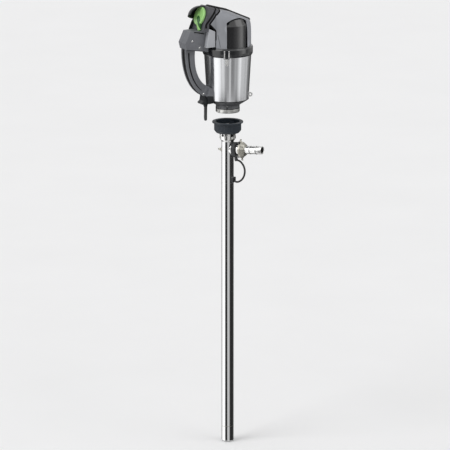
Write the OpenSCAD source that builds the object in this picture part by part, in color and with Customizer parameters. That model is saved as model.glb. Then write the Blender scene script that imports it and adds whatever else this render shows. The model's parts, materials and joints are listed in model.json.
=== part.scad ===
// Electric drum pump: a hand-held commutator motor above an immersion pump tube.
// Origin on the tube axis at the immersion datum, +Z up, the motor's handle towards -X.

/* [Pump tube] */
// Length from the immersion datum to the foot
immersion_length = 1000; // [700:10:1200]
// Outer diameter of the pump tube
tube_d = 41; // [41:0.5:42]
// Wall of the outer tube
tube_wall = 1.5; // [1:0.1:2]
// Outer diameter of the inner tube that carries the shaft
inner_tube_d = 20; // [18:0.5:22]
// Diameter of the pump shaft
pump_shaft_d = 10; // [8:0.5:11]
// Depth of the screwed pump foot
foot_height = 58; // [50:1:70]

/* [Discharge branch] */
// Direction of the branch about the tube axis
branch_azimuth = -57; // [-90:1:0]
// Upward tilt of the branch
branch_tilt = 5; // [0:1:10]
// Height of the branch's root above the datum
branch_height = 20; // [15:1:25]
// Flow bore of the hose tail
tail_bore_d = 21; // [18:0.5:22]
// Outer diameter of the hose tail between its barbs
tail_d = 26.4; // [26:0.1:27]
// Distance from the tube axis to the tail's open end
tail_reach = 133; // [125:1:145]

/* [Hand nut] */
// Outer diameter of the nut's body
nut_d = 91; // [88:0.5:94]
// Outer diameter of the nut's rim
nut_rim_d = 104; // [98:1:110]

/* [Motor] */
// Gap that the motor is held above the seated position
lift_gap = 57; // [56:1:58]
// Outer diameter of the spigot
spigot_d = 80; // [79:0.5:80]
// Outer diameter of the can at its lower edge
can_bottom_d = 140; // [138:1:142]
// Outer diameter of the can at its upper edge
can_top_d = 158; // [157:1:159]
// Outer diameter of the hood
hood_d = 156; // [155:1:157]
// Diameter of the motor shaft
motor_shaft_d = 12; // [10:0.5:13]

/* [Handle] */
// Width of the grip
grip_width = 32; // [30:1:36]
// Width of the block above the grip
block_width = 50; // [46:1:54]

/* [Cords] */
// Diameter of the mains cable
mains_d = 10; // [9:0.5:10]
// Diameter of the bonding cable
bonding_d = 6.5; // [6:0.5:7]

/* [Hidden] */
$fn = 96;

// clearances
slack = 0.3;        // between parts that only pass each other
running = 0.05;     // radial, of a shaft in its bearing

// pump tube
tube_r = tube_d / 2;
tube_bore_r = tube_r - tube_wall;
foot_z = -immersion_length;
foot_top_z = foot_z + foot_height;
foot_socket = 18;
foot_rim = 4.5;
foot_wall = 1;
foot_floor = 10;
inlet_r = 15;
inner_r = inner_tube_d / 2;
inner_bore_r = inner_r - 1.5;
pump_shaft_r = pump_shaft_d / 2;
seal_height = 15;
seal_gap = 5;
bell_z = 49;
bell_cone = 9;
neck_height = 14;
bell_r = 26;
head_flange_r = 38;
head_flange_z = 84;
head_top_z = 90;
head_bore_r = 15;
window_count = 5;
window_r = 3.5;
window_z = 73;
window_first = -158;
bearing_height = 14;
drive_square = 12;
drive_top_z = 108;
impeller_z = foot_z + 16;
impeller_height = 20;
impeller_r = 16.5;
blade_count = 3;
blade_tilt = 55;
blade_wall = 2;
bush_height = 12;
bush_heights = [-700, -400, -100];

// discharge branch: distances run out from the tube axis along the branch
branch_bore_r = 11;
spigot_branch_r = 18;
shoulder_s = 24;
ring_end_s = 34;
ring_r = 25;
shoulder_r = spigot_branch_r + 1;
thread_end_s = 56;
gasket_s = 2;
tail_flange_s = 5;
wing_start_s = 50;
wing_end_s = 70;
wing_r = 27;
wing_lug = [[23, 51], [33, 48], [34, 51], [34, 55], [25, 62]];
wing_lug_half = 4;
tail_r = tail_d / 2;
tail_bore_r = tail_bore_d / 2;
barb_positions = [88, 111];
barb_r = 14.4;

// hand nut
nut_bottom_z = 79.5;
nut_top_z = 117.5;
nut_bore_r = 40.6;
nut_lip_r = 27;
nut_lip_top_z = head_flange_z - slack;
nut_rim_height = 4;

// motor, from the spigot face upwards
spigot_z = head_top_z + lift_gap;
spigot_r = spigot_d / 2;
spigot_bore_r = 33;
flange_screw = [3.6, 2, 2, 5];     // radius and height of the head, of the shank
eye_azimuth = -28;
neck_z = spigot_z + 14;
cone_z = spigot_z + 29;
can_z = spigot_z + 50;
can_top_z = spigot_z + 205;
collar_z = spigot_z + 201;
collar_top_z = spigot_z + 231;
collar_r = 84;
can_wall = 1.5;
web_z = neck_z + 7;
socket_z = spigot_z + 5;
socket_r = 12;
socket_depth = 16;
socket_height = 22;
shaft_foot_z = socket_z + socket_depth;
shaft_top_z = spigot_z + 225;
motor_shaft_r = motor_shaft_d / 2;
lower_bearing_z = spigot_z + 31;
upper_bearing_z = spigot_z + 211;
fan_z = spigot_z + 53;
stack_z = spigot_z + 85;
stack_height = 80;
stator_r = 60;
armature_r = 26.5;
armature_gap = 0.6;
commutator_z = spigot_z + 183;
commutator_height = 20;
commutator_r = 14;
bracket_z = spigot_z + 206;
bracket_r = 73;
leg_angles = [20, 160, 200, 340];
leg_circle_r = 48;
leg_r = 5;
bearing_seat_r = 15;

// hood over the motor's top
hood_r = hood_d / 2;
hood_wall = 3;
crown_r = 240;
crown_knee = [-6, 500];
rear_slope = 16;
front_slope = 24;
rear_half_width = 42;
seam_x = -67;
seam_low = [-91, 462];
seam_high = [-11, 550];
window_half = 39;
window_arch_r = 64;
window_arch_z = 415;
insert_r = 73;
insert_top_z = 459;
strip_half = 14;
strip_start = -40;

// rotary switch on the sloping rear face
knob_tilt = 20;
knob_face = [-100, 483];
knob_r = 31;
knob_height = 9;
lever_size = [71, 12, 16];
lever_tail = 22;
lever_angle = 208;     // from straight up the face, towards +Y
visor_r = 38;
visor_reach = 48;
visor_turn = 25;
visor_lean = -8;
visor_tilt = 11;
visor_skirt = 12;
guard_y = 35;
guard_points = [[-100.5, 482.5], [-116, 465], [-127, 439.5], [-104, 439.5], [-104, 448], [-112.9, 448]];
switch_gap = 0.8;
spindle_r = 5;
switch_size = [34, 34, 28.5];
switch_depth = 5;

// handle outline in the X-Z plane
block_points = [
    [-96, 446], [-108, 439], [-153, 438], [-171, 400], [-166, 379], [-99, 368], [-86, 366], [-86, 446]
];
grip_outer = [[-166, 382], [-168, 300], [-142, 238], [-96, 214]];
grip_inner = [[-131, 372], [-137, 300], [-112, 254], [-74.5, 245]];
foot_points = [[-74.5, 245], [-71, 194], [-86, 185], [-104, 187], [-106, 191], [-98, 198], [-96, 214]];
outline_steps = 14;
side_screws = [
    [-145, 406, block_width / 2], [-118, 382, block_width / 2], [-99, 222, grip_width / 2]
];
screw_recess = [4, 2];
screw_hole = [2, 6.5];
band_depth = 7;
band_half = 9;
saddle_half = 24;
gland_x = -84;
gland_top_z = 216;
gland_exit_z = 176;
gland_top_r = 9;
gland_exit_r = 6.5;

// mains cable: straight out of the gland, one turn away from the handle, up to the hank
mains_r = mains_d / 2;
mains_route = [
    [-84, 0, 176], [-84, 0, 166], [-83, 2, 152], [-79, 10, 137], [-72, 22, 127], [-64, 37, 124],
    [-56, 52, 127], [-49, 65, 137], [-45, 72, 152], [-44, 75, 166], [-42, 78, 180],
    [-35, 83, 194], [-24, 90, 208], [-12, 98, 222], [-3, 104, 236], [0, 106, 252]
];
hank_azimuth = 62;
hank_near = 88;
hank_thickness = 31;
hank_z = 316;
hank_half_run = 73.5;
hank_outer_r = 55;
hank_inner_r = 25;
strap_z = 363;
strap_height = 16;
strap_wall = 1.5;
plug_radius = 17;
plug_z = 241;
plug_height = 56;
plug_grip = 34;
plug_pin = [2.4, 19, 9.5];          // radius, length and offset of each pin
plug_axis_r = hank_near + hank_thickness / 2;

// bonding cable: [distance along the branch, height]
bonding_r = bonding_d / 2;
bonding_route = [
    [29, -14], [37, -13], [46, -15], [54, -21], [61, -30], [65, -42], [65, -55],
    [61, -68], [53, -79], [43, -86], [33, -88], [25, -85]
];
clamp_z = -90;
clamp_height = 17;
clamp_width = 18;
clamp_depth = 6;
locating_groove = [3, 1.5, 0.4];    // drop below the clamp, height and depth of the groove in the tube

// ---- general shapes ----

function bezier(p, t) =
    pow(1 - t, 3) * p[0] + 3 * pow(1 - t, 2) * t * p[1] + 3 * (1 - t) * t * t * p[2] + pow(t, 3) * p[3];
function curve(p) = [for (i = [0:outline_steps]) bezier(p, i / outline_steps)];
function quarter(r, h) =
    [for (i = [0:outline_steps]) [r * cos(90 * i / outline_steps), h * sin(90 * i / outline_steps)]];
function reversed(list) = [for (i = [len(list) - 1:-1:0]) list[i]];
function unit(v) = v / norm(v);

// A point between two rows of a route, and the smooth curve through the whole route.
function route_point(p, i) = p[max(0, min(len(p) - 1, i))];
function smooth(p, i, t) =
    let (
        a = route_point(p, i - 1),
        b = route_point(p, i),
        c = route_point(p, i + 1),
        d = route_point(p, i + 2)
    )
    0.5 * (2 * b + (c - a) * t + (2 * a - 5 * b + 4 * c - d) * t * t + (3 * b - a - 3 * c + d) * t * t * t);
function smooth_route(p, steps) =
    concat([for (i = [0:len(p) - 2], k = [0:steps - 1]) smooth(p, i, k / steps)], [p[len(p) - 1]]);
function tangent(p, i) = unit(route_point(p, i + 1) - route_point(p, i - 1));
// The ring's first axis is kept square to a fixed side direction, so the tube doesn't twist.
function ring(p, i, r, sides, side) =
    let (t = tangent(p, i), a = unit(cross(side, t)), b = cross(t, a))
    [for (k = [0:sides - 1]) p[i] + r * (cos(360 * k / sides) * a + sin(360 * k / sides) * b)];

module tube_along(p, r, sides, side) {
    n = len(p);
    points = [for (i = [0:n - 1]) each ring(p, i, r, sides, side)];
    walls = [
        for (i = [0:n - 2], k = [0:sides - 1])
            let (here = i * sides, there = here + sides, next = (k + 1) % sides)
            [here + k, there + k, there + next, here + next]
    ];
    first_cap = [for (k = [0:sides - 1]) k];
    last_cap = [for (k = [sides - 1:-1:0]) (n - 1) * sides + k];
    polyhedron(points, concat([first_cap, last_cap], walls));
}

module pipe(z, h, outer, inner) {
    translate([0, 0, z]) difference() {
        cylinder(r = outer, h = h);
        translate([0, 0, -1]) cylinder(r = inner, h = h + 2);
    }
}

// Turns the +Z axis onto the branch's axis at its root.
module on_branch() {
    translate([0, 0, branch_height])
        rotate([0, 0, branch_azimuth])
            rotate([0, 90 - branch_tilt, 0])
                children();
}

module side_plate(points, half) {
    rotate([90, 0, 0]) linear_extrude(height = 2 * half, center = true) polygon(points);
}

// One half of a handle piece, from the middle plane outwards; side is 1 or -1 along Y.
module half_plate(points, depth, side) {
    translate([0, side * depth / 2, 0]) side_plate(points, depth / 2);
}

module bolt(head_r, head_h, shank_r, shank_h) {
    cylinder(r = head_r, h = head_h, $fn = 24);
    translate([0, 0, -shank_h]) cylinder(r = shank_r, h = shank_h + 0.5, $fn = 24);
}

// ---- pump tube ----

module outer_tube() {
    groove_z = clamp_z - locating_groove[0];
    color("gainsboro") difference() {
        pipe(foot_top_z, bell_z - foot_top_z, tube_r, tube_bore_r);
        on_branch() cylinder(r = branch_bore_r, h = 2 * tube_r);
        pipe(groove_z, locating_groove[1], tube_r + 1, tube_r - locating_groove[2]);
    }
}

module tube_head() {
    color("silver") difference() {
        rotate_extrude() polygon([
            [inner_r, bell_z], [tube_r, bell_z], [bell_r, bell_z + bell_cone], [bell_r, head_flange_z],
            [head_flange_r, head_flange_z], [head_flange_r, head_top_z], [head_bore_r, head_top_z],
            [head_bore_r, bell_z + neck_height], [inner_r, bell_z + neck_height - 3]
        ]);
        for (i = [0:window_count - 1])
            rotate([0, 0, window_first + i * 360 / window_count])
                translate([head_bore_r - 2, 0, window_z - window_r])
                    rotate([0, 90, 0]) cylinder(r = window_r, h = bell_r, $fn = 24);
    }
}

module inner_tube() {
    bottom_z = foot_top_z + seal_gap - 1;
    color("lightgray") pipe(bottom_z, bell_z + neck_height - 3 - bottom_z, inner_r, inner_bore_r);
}

module pump_foot() {
    rim_arc = [
        for (a = [270:15:360])
            [tube_r - foot_rim + foot_rim * cos(a), foot_z + foot_rim + foot_rim * sin(a)]
    ];
    color("silver") rotate_extrude() polygon(concat([[inlet_r, foot_z]], rim_arc, [
        [tube_r, foot_top_z], [tube_bore_r, foot_top_z],
        [tube_bore_r, foot_top_z + foot_socket],
        [tube_bore_r - 1.5 * foot_wall, foot_top_z + foot_socket],
        [tube_bore_r - 1.5 * foot_wall, foot_top_z],
        [tube_bore_r - foot_wall, foot_top_z], [tube_bore_r - foot_wall, foot_z + foot_floor + 2],
        [inlet_r, foot_z + foot_floor]
    ]));
}

module diffuser() {
    hub_z = impeller_z + impeller_height + 4;
    vane = [tube_r, 2, 14];
    color("lightslategray") difference() {
        union() {
            translate([0, 0, hub_z]) cylinder(r = inner_bore_r, h = foot_top_z + seal_gap - 1 - hub_z);
            intersection() {
                translate([0, 0, hub_z]) cylinder(r = tube_bore_r - 1.5 * foot_wall, h = vane[2]);
                for (a = [0:90:270])
                    rotate([0, 0, a]) translate([pump_shaft_r - 1, -vane[1] / 2, hub_z]) cube(vane);
            }
        }
        translate([0, 0, hub_z - 1]) cylinder(r = pump_shaft_r + running, h = foot_height);
    }
}

module shaft_bushes() {
    color("ivory") for (z = bush_heights) pipe(z, bush_height, inner_bore_r, pump_shaft_r + running);
}

module shaft_seal() {
    color("dimgray") pipe(foot_top_z + seal_gap, seal_height, inner_bore_r, pump_shaft_r + running);
}

module head_bearing() {
    color("silver")
        pipe(head_top_z - bearing_height, bearing_height - 1, head_bore_r, pump_shaft_r + running);
}

module discharge_branch() {
    root_wall = 2.5;
    color("gainsboro") difference() {
        on_branch() rotate_extrude() polygon([
            [branch_bore_r, 0], [branch_bore_r + root_wall, 0], [shoulder_r, shoulder_s],
            [shoulder_r, ring_end_s], [spigot_branch_r, ring_end_s],
            [spigot_branch_r, thread_end_s], [branch_bore_r, thread_end_s]
        ]);
        translate([0, 0, -tube_d]) cylinder(r = tube_r, h = 3 * tube_d);
    }
}

module earthing_ring() {
    lug = [14, 12, 8];
    strap = [3, 10, 19];
    strap_s = shoulder_s + 6;
    color("#2b2d30") on_branch() {
        pipe(shoulder_s, ring_end_s - shoulder_s, ring_r, shoulder_r);
        translate([ring_r - 2, -lug[1] / 2, shoulder_s + 1]) cube(lug);
        difference() {
            translate([-spigot_branch_r - slack - strap[0], -strap[1] / 2, strap_s]) cube(strap);
            translate([0, 0, strap_s - 1]) cylinder(r = shoulder_r, h = ring_end_s - strap_s + 1);
        }
    }
}

module tail_gasket() {
    color("black") on_branch() pipe(thread_end_s, gasket_s, spigot_branch_r - 0.5, branch_bore_r);
}

module hose_tail() {
    flange_s = thread_end_s + gasket_s;
    flange_end_s = flange_s + tail_flange_s;
    flange_r = spigot_branch_r - 0.5;
    ramp = 7;
    barbs = [for (s = barb_positions) each [[tail_r, s - ramp], [barb_r, s], [tail_r, s + 0.5]]];
    color("gainsboro") on_branch() rotate_extrude() polygon(concat(
        [[tail_bore_r, flange_s], [flange_r, flange_s], [flange_r, flange_end_s], [tail_r, flange_end_s]],
        barbs,
        [[tail_r, tail_reach - 1], [tail_r - 1, tail_reach], [tail_bore_r, tail_reach]]
    ));
}

module wing_nut() {
    thread_r = spigot_branch_r + slack;
    passage_r = tail_r + slack;
    lip_s = thread_end_s + gasket_s + tail_flange_s + slack;
    color("#a5a398") on_branch() {
        rotate_extrude() polygon([
            [thread_r, wing_start_s], [wing_r, wing_start_s], [wing_r, wing_start_s + 7],
            [wing_r - 9, wing_end_s], [passage_r, wing_end_s], [passage_r, lip_s], [thread_r, lip_s]
        ]);
        for (a = [0, 180]) rotate([0, 0, a]) side_plate(wing_lug, wing_lug_half);
    }
}

module earth_stud() {
    boss_r = 8;
    stud_r = 4;
    reach = 14;
    color("silver") difference() {
        translate([0, 0, branch_height - 2])
            rotate([0, 0, branch_azimuth + 180])
                rotate([0, 90, 0])
                    rotate_extrude() polygon([
                        [0, tube_r - 3], [boss_r, tube_r - 3], [boss_r - 1, tube_r + 4], [stud_r, tube_r + 5],
                        [stud_r, tube_r + reach], [0, tube_r + reach]
                    ]);
        cylinder(r = tube_r, h = tube_d);
    }
}

module bonding_cable() {
    out = [cos(branch_azimuth), sin(branch_azimuth), 0];
    side = [-out[1], out[0], 0];
    route = [for (p = smooth_route(bonding_route, 2)) p[0] * out + [0, 0, p[1]]];
    color("#151515") tube_along(route, bonding_r, 12, side);
}

module cable_clamp() {
    color("#222222") difference() {
        rotate([0, 0, branch_azimuth])
            translate([tube_r - clamp_depth, -clamp_width / 2, clamp_z])
                cube([2 * clamp_depth, clamp_width, clamp_height]);
        translate([0, 0, clamp_z - 1]) cylinder(r = tube_r, h = clamp_height + 2);
    }
}

module pump_shaft() {
    collar = [9, 2];
    square_z = head_top_z + 2;
    color("lightgray") {
        translate([0, 0, impeller_z - 2]) cylinder(r = pump_shaft_r, h = square_z - impeller_z + 2);
        translate([0, 0, head_top_z + 0.5]) cylinder(r = collar[0], h = collar[1]);
        translate([-drive_square / 2, -drive_square / 2, square_z])
            cube([drive_square, drive_square, drive_top_z - square_z]);
    }
}

module impeller() {
    blade = [impeller_r + 3, blade_wall, 2 * impeller_height];
    color("ivory") translate([0, 0, impeller_z]) difference() {
        union() {
            cylinder(r = pump_shaft_r + 3, h = impeller_height);
            intersection() {
                cylinder(r = impeller_r, h = impeller_height);
                for (i = [0:blade_count - 1])
                    rotate([0, 0, i * 360 / blade_count])
                        translate([impeller_r / 2, 0, impeller_height / 2])
                            rotate([blade_tilt, 0, 0]) cube(blade, center = true);
            }
        }
        translate([0, 0, -1]) cylinder(r = pump_shaft_r, h = impeller_height + 2);
    }
}

module hand_nut() {
    nut_r = nut_d / 2;
    rim_r = nut_rim_d / 2;
    bevel = 7;
    color("#232a32") rotate_extrude() polygon([
        [nut_lip_r, nut_bottom_z], [nut_r - bevel, nut_bottom_z], [nut_r, nut_bottom_z + bevel],
        [nut_r, nut_top_z - nut_rim_height - 2], [rim_r, nut_top_z - nut_rim_height],
        [rim_r, nut_top_z], [nut_bore_r, nut_top_z], [nut_bore_r, nut_lip_top_z], [nut_lip_r, nut_lip_top_z]
    ]);
}

// ---- motor ----

module spigot_ring() {
    color("silver") rotate_extrude() polygon([
        [spigot_bore_r, spigot_z], [spigot_r - 1.5, spigot_z], [spigot_r, spigot_z + 1.5],
        [spigot_r, neck_z], [spigot_bore_r, neck_z]
    ]);
}

module at_flange_screws() {
    for (a = [-120, 0, 120])
        rotate([0, 0, a]) translate([spigot_r - flange_screw[1], 0, cone_z - 5])
            rotate([0, 90, 0]) children();
}

module bottom_flange() {
    can_r = can_bottom_d / 2;
    pocket_r = bearing_seat_r + 1;
    boss_r = pocket_r + 5;
    shaft_hole_r = 14;
    color("#55575a") difference() {
        rotate_extrude() polygon([
            [shaft_hole_r, web_z], [spigot_bore_r, web_z], [spigot_bore_r, neck_z], [spigot_r, neck_z],
            [spigot_r, cone_z], [spigot_r + 4, cone_z + 2], [can_r - 3, can_z - 4], [can_r, can_z],
            [can_r - 4, can_z], [spigot_r + 3, cone_z + 6], [boss_r, cone_z + 6],
            [boss_r, lower_bearing_z + 10], [pocket_r, lower_bearing_z + 10],
            [pocket_r, lower_bearing_z], [shaft_hole_r, lower_bearing_z]
        ]);
        at_flange_screws() {
            cylinder(r = flange_screw[0] + 0.2, h = 5, $fn = 24);
            translate([0, 0, -flange_screw[3]]) cylinder(r = flange_screw[2], h = 9, $fn = 24);
        }
    }
}

module flange_screws() {
    color("silver")
        at_flange_screws() bolt(flange_screw[0], flange_screw[1], flange_screw[2], flange_screw[3]);
}

module lower_bearing() {
    color("silver") pipe(lower_bearing_z, 9, bearing_seat_r + 1, motor_shaft_r + running);
}

// Solid cone of the can's outer surface, for what fits against it.
module can_body() {
    translate([0, 0, can_z]) cylinder(r1 = can_bottom_d / 2, r2 = can_top_d / 2, h = can_top_z - can_z);
}

module motor_can() {
    bottom_r = can_bottom_d / 2;
    top_r = can_top_d / 2;
    color("#c9cbce") rotate_extrude() polygon([
        [bottom_r - can_wall, can_z], [bottom_r, can_z], [top_r, can_top_z], [top_r - can_wall, can_top_z]
    ]);
}

module can_gasket() {
    color("black") pipe(can_top_z, 2, can_top_d / 2, can_top_d / 2 - 3.5);
}

module earth_terminal() {
    eye_r = 7.5;
    hole_r = 3.2;
    thickness = 5;
    color("gold") difference() {
        rotate([0, 0, eye_azimuth]) translate([can_bottom_d / 2 + 5.5, 0, can_z + 12])
            rotate([90, 0, 0]) difference() {
                cylinder(r = eye_r, h = thickness, center = true);
                cylinder(r = hole_r, h = thickness + 2, center = true);
            }
        can_body();
    }
}

module collar() {
    seat_r = can_top_d / 2 + slack;
    color("#191c1e") rotate_extrude() polygon([
        [seat_r, collar_z], [collar_r - 2.5, collar_z],
        [collar_r - 0.5, collar_z + 4], [collar_r, collar_z + 12],
        [collar_r, collar_top_z - 4], [collar_r - 2, collar_top_z], [bracket_r, collar_top_z],
        [bracket_r, can_top_z + 2], [seat_r, can_top_z + 2]
    ]);
}

// Latches that hook over the collar and grip the can below it.
module collar_clips() {
    plate = [14, 24, 30];
    lip = 4;
    tongue = [22, 11, 27];
    color("#303338") for (a = [-120, 0, 120]) difference() {
        rotate([0, 0, a]) intersection() {
            cylinder(r = collar_r + 2, h = collar_top_z);
            union() {
                translate([collar_r + 2 - plate[0], -plate[1] / 2, collar_z - lip]) cube(plate);
                translate([collar_r - tongue[0], -tongue[1] / 2, collar_z - tongue[2]])
                    cube([tongue[0] - 2, tongue[1], tongue[2]]);
            }
        }
        translate([0, 0, collar_z - slack]) cylinder(r = collar_r, h = collar_top_z);
        can_body();
    }
}

// ---- hood ----

// Space below the crowned roof, which falls from the rear crest to the front; inset lowers it.
module under_roof(inset) {
    intersection_for(slope = [rear_slope, front_slope])
        translate([crown_knee[0], 0, crown_knee[1]])
            rotate([0, slope, 0])
                translate([0, 0, -crown_r])
                    rotate([0, 90, 0])
                        cylinder(r = crown_r - inset, h = 500, center = true, $fn = 180);
}

module hood_space(inset) {
    intersection() {
        translate([0, 0, collar_top_z - inset]) linear_extrude(height = 200) union() {
            circle(r = hood_r - inset);
            translate([-116 + inset, -rear_half_width + inset]) square([116, 2 * (rear_half_width - inset)]);
        }
        under_roof(inset);
    }
}

module strip_space() {
    translate([-60, -strip_half, 400]) cube([200, 2 * strip_half, 200]);
}

// Arched space of one side window; side is 1 or -1 along Y.
module window_space(side, half, arch_r, near_r) {
    translate([0, side * (near_r + 20), 0]) rotate([90, 0, 0]) linear_extrude(height = 40, center = true)
        intersection() {
            translate([0, window_arch_z]) circle(r = arch_r);
            translate([-half, collar_top_z]) square([2 * half, 200]);
        }
}

module head_shell() {
    foot_z = collar_top_z - 1;
    front = [seam_high, seam_low, [seam_x, 437], [seam_x, foot_z], [100, foot_z], [100, seam_high[1]]];
    color("#8c8e93") difference() {
        intersection() {
            hood_space(0);
            side_plate(front, 100);
        }
        hood_space(hood_wall);
        for (side = [-1, 1]) window_space(side, window_half, window_arch_r, 60);
        difference() {
            strip_space();
            under_roof(1.5);
        }
    }
}

module ridge_strip() {
    color("#17181a") difference() {
        intersection() {
            under_roof(0);
            translate([0, 0, collar_top_z]) cylinder(r = hood_r, h = 200);
            strip_space();
            side_plate([[strip_start, 400], [strip_start, 550], [100, 550], [100, 400]], 50);
        }
        under_roof(1.5);
    }
}

module side_panel(side) {
    wall = 4;
    slope_r = 13;
    rise_z = insert_top_z + slope_r;
    color("#1b1c1e") intersection() {
        rotate_extrude() polygon([
            [insert_r - wall, collar_top_z], [insert_r, collar_top_z], [insert_r - 1, insert_top_z],
            [insert_r - slope_r, rise_z], [insert_r - slope_r - wall, rise_z],
            [insert_r - wall, insert_top_z - wall / 2]
        ]);
        window_space(side, window_half + 2, window_arch_r + 2, 44);
        hood_space(hood_wall + slack);
    }
}
module side_panel_right() { side_panel(-1); }
module side_panel_left() { side_panel(1); }

module on_knob_face() {
    translate([knob_face[0], 0, knob_face[1]]) rotate([0, knob_tilt - 90, 0]) children();
}

module rear_cap() {
    outside = [[-12, 550.5], [-92, 462.8], [-80, 448.5], [-112.3, 448.5], [-75.8, 550]];
    inside = [[-20, 546], [-88, 462], [-84, 453], [-106, 453], [-74, 541]];
    color("#414146") difference() {
        intersection() {
            hood_space(0);
            side_plate(outside, 100);
        }
        intersection() {
            hood_space(hood_wall);
            side_plate(inside, 100);
        }
        on_knob_face() translate([0, 0, -20]) cylinder(r = spindle_r + 1, h = 40);
    }
}

// Half of a dome over the knob, open downwards and towards -Y, with a guard plate below it on the +Y side.
module switch_visor() {
    wall = 3;
    reach = 200;
    color("#26272a") {
        on_knob_face() translate([0, 0, slack]) difference() {
            rotate([0, -visor_tilt, 0]) rotate_extrude() polygon(concat(
                [[visor_r, -visor_skirt]],
                quarter(visor_r, visor_reach),
                reversed(quarter(visor_r - wall, visor_reach - wall)),
                [[visor_r - wall, -visor_skirt]]
            ));
            translate([-reach / 2, -reach / 2, -reach]) cube(reach);
            rotate([0, 0, visor_turn]) rotate([0, visor_lean, 0])
                translate([-reach, -reach / 2, -reach / 2]) cube(reach);
        }
        translate([0, guard_y, 0]) side_plate(guard_points, 1.5);
    }
}

module cheek(side) {
    points = [[-92, 447], [-69, 436], [-69, collar_top_z + 1], [-103, collar_top_z + 1]];
    half = 9.35;
    middle_y = block_width / 2 + slack + half;
    color("#9b9da2") translate([0, side * middle_y, 0]) side_plate(points, half);
}
module cheek_right() { cheek(-1); }
module cheek_left() { cheek(1); }

// ---- handle ----

module grip_band_space() {
    outer = curve(grip_outer);
    shift = [for (p = grip_outer) [p[0] + band_depth, p[1] + band_depth / 2]];
    side_plate(concat(outer, reversed(curve(shift))), band_half);
}

module at_side_screws(side) {
    for (p = side_screws) translate([p[0], side * p[2], p[1]]) rotate([side * -90, 0, 0]) children();
}

module handle_half(side) {
    saddle = [[-60, 240], [-60, 190], [-84, 188], [-90, 214], [-80, 240]];
    foot = [for (i = [len(foot_points) - 2:-1:0]) foot_points[i]];
    grip = concat(curve(grip_outer), foot, reversed(curve(grip_inner)));
    color("#5f6064") difference() {
        union() {
            half_plate(block_points, block_width / 2, side);
            half_plate(grip, grip_width / 2, side);
            half_plate(saddle, saddle_half, side);
        }
        can_body();
        translate([0, 0, cone_z]) cylinder(r = can_bottom_d / 2 + slack, h = can_z - cone_z);
        grip_band_space();
        translate([gland_x, 0, gland_exit_z - 2])
            cylinder(r = gland_top_r + 0.2, h = gland_top_z - gland_exit_z + 2);
        at_side_screws(side) {
            translate([0, 0, -screw_recess[1]]) cylinder(r = screw_recess[0], h = 3, $fn = 24);
            translate([0, 0, -screw_hole[1]]) cylinder(r = screw_hole[0], h = screw_hole[1], $fn = 24);
        }
    }
}
module handle_half_right() { handle_half(-1); }
module handle_half_left() { handle_half(1); }

module grip_band() {
    color("#141414") difference() {
        grip_band_space();
        can_body();
    }
}

module handle_screws() {
    color("silver") for (side = [-1, 1])
        at_side_screws(side) translate([0, 0, -screw_recess[1]])
            bolt(screw_recess[0] - 0.2, 1.5, screw_hole[0] - 0.2, screw_hole[1] - screw_recess[1]);
}

module strain_relief() {
    taper = 14;
    height = gland_top_z - gland_exit_z;
    color("#1d1d1f") translate([gland_x, 0, gland_exit_z]) difference() {
        union() {
            cylinder(r1 = gland_exit_r, r2 = gland_top_r, h = taper);
            translate([0, 0, taper]) cylinder(r = gland_top_r, h = height - taper);
        }
        translate([0, 0, 10]) cylinder(r = mains_r, h = height);
    }
}

// ---- electrics ----

module switch_body() {
    spindle_hole = 20;
    color("darkslategray") on_knob_face() difference() {
        translate([-switch_size[0] / 2, -switch_size[1] / 2, -switch_depth - switch_size[2]])
            cube(switch_size);
        translate([0, 0, -switch_depth - spindle_hole]) cylinder(r = spindle_r + running, h = 30);
    }
}

module terminal_block() {
    color("beige") translate([-30, -20, collar_top_z + 20]) cube([34, 40, 22]);
}

module motor_bracket() {
    plate = 5;
    hub = [20, 17];
    leg_z = stack_z + stack_height;
    color("#4a4a4a") difference() {
        union() {
            translate([0, 0, bracket_z]) cylinder(r = bracket_r, h = plate);
            translate([0, 0, bracket_z]) cylinder(r = hub[0], h = hub[1]);
            for (a = leg_angles)
                rotate([0, 0, a]) translate([leg_circle_r, 0, leg_z])
                    cylinder(r = leg_r, h = bracket_z - leg_z, $fn = 24);
        }
        translate([0, 0, bracket_z - 1]) cylinder(r = bearing_seat_r - 4, h = 30);
        translate([0, 0, upper_bearing_z]) cylinder(r = bearing_seat_r, h = 30);
    }
}

module upper_bearing() {
    color("silver") pipe(upper_bearing_z, 11, bearing_seat_r, motor_shaft_r + running);
}

module stator_core() {
    slot = [36, 10, stack_height + 2];
    slot_y = 38;
    color("#6d7073") difference() {
        pipe(stack_z, stack_height, stator_r, armature_r + armature_gap);
        for (side = [-1, 1]) translate([-slot[0] / 2, side * slot_y - slot[1] / 2, stack_z - 1]) cube(slot);
    }
}

module field_windings() {
    height = 12;
    half = [35, 25];
    coil_y = 37;
    color("#b5652d") for (z = [stack_z - height, stack_z + stack_height], side = [-1, 1])
        intersection() {
            pipe(z, height, 52, 32);
            translate([-half[0], side * coil_y - half[1], z]) cube([2 * half[0], 2 * half[1], height]);
        }
}

module brush_holders() {
    holder = [34, 16, 22];
    channel = [28, 8, 10];
    color("#3a3a3a") for (a = [90, 270]) rotate([0, 0, a]) difference() {
        translate([commutator_r + 2, -holder[1] / 2, commutator_z + 1]) cube(holder);
        translate([commutator_r, -channel[1] / 2, commutator_z + 5]) cube(channel);
    }
}

module carbon_brushes() {
    brush = [22, 8, 10];
    color("#202020") for (a = [90, 270])
        rotate([0, 0, a]) translate([commutator_r + slack, -brush[1] / 2, commutator_z + 5]) cube(brush);
}

module armature_core() {
    end_turns = 10;
    whole = stack_height + 2 * end_turns;
    color("#777a7d") difference() {
        union() {
            translate([0, 0, stack_z]) cylinder(r = armature_r, h = stack_height);
            translate([0, 0, stack_z - end_turns]) cylinder(r = armature_r - 4, h = whole);
        }
        translate([0, 0, stack_z - end_turns - 1]) cylinder(r = motor_shaft_r, h = whole + 2);
    }
}

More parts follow.
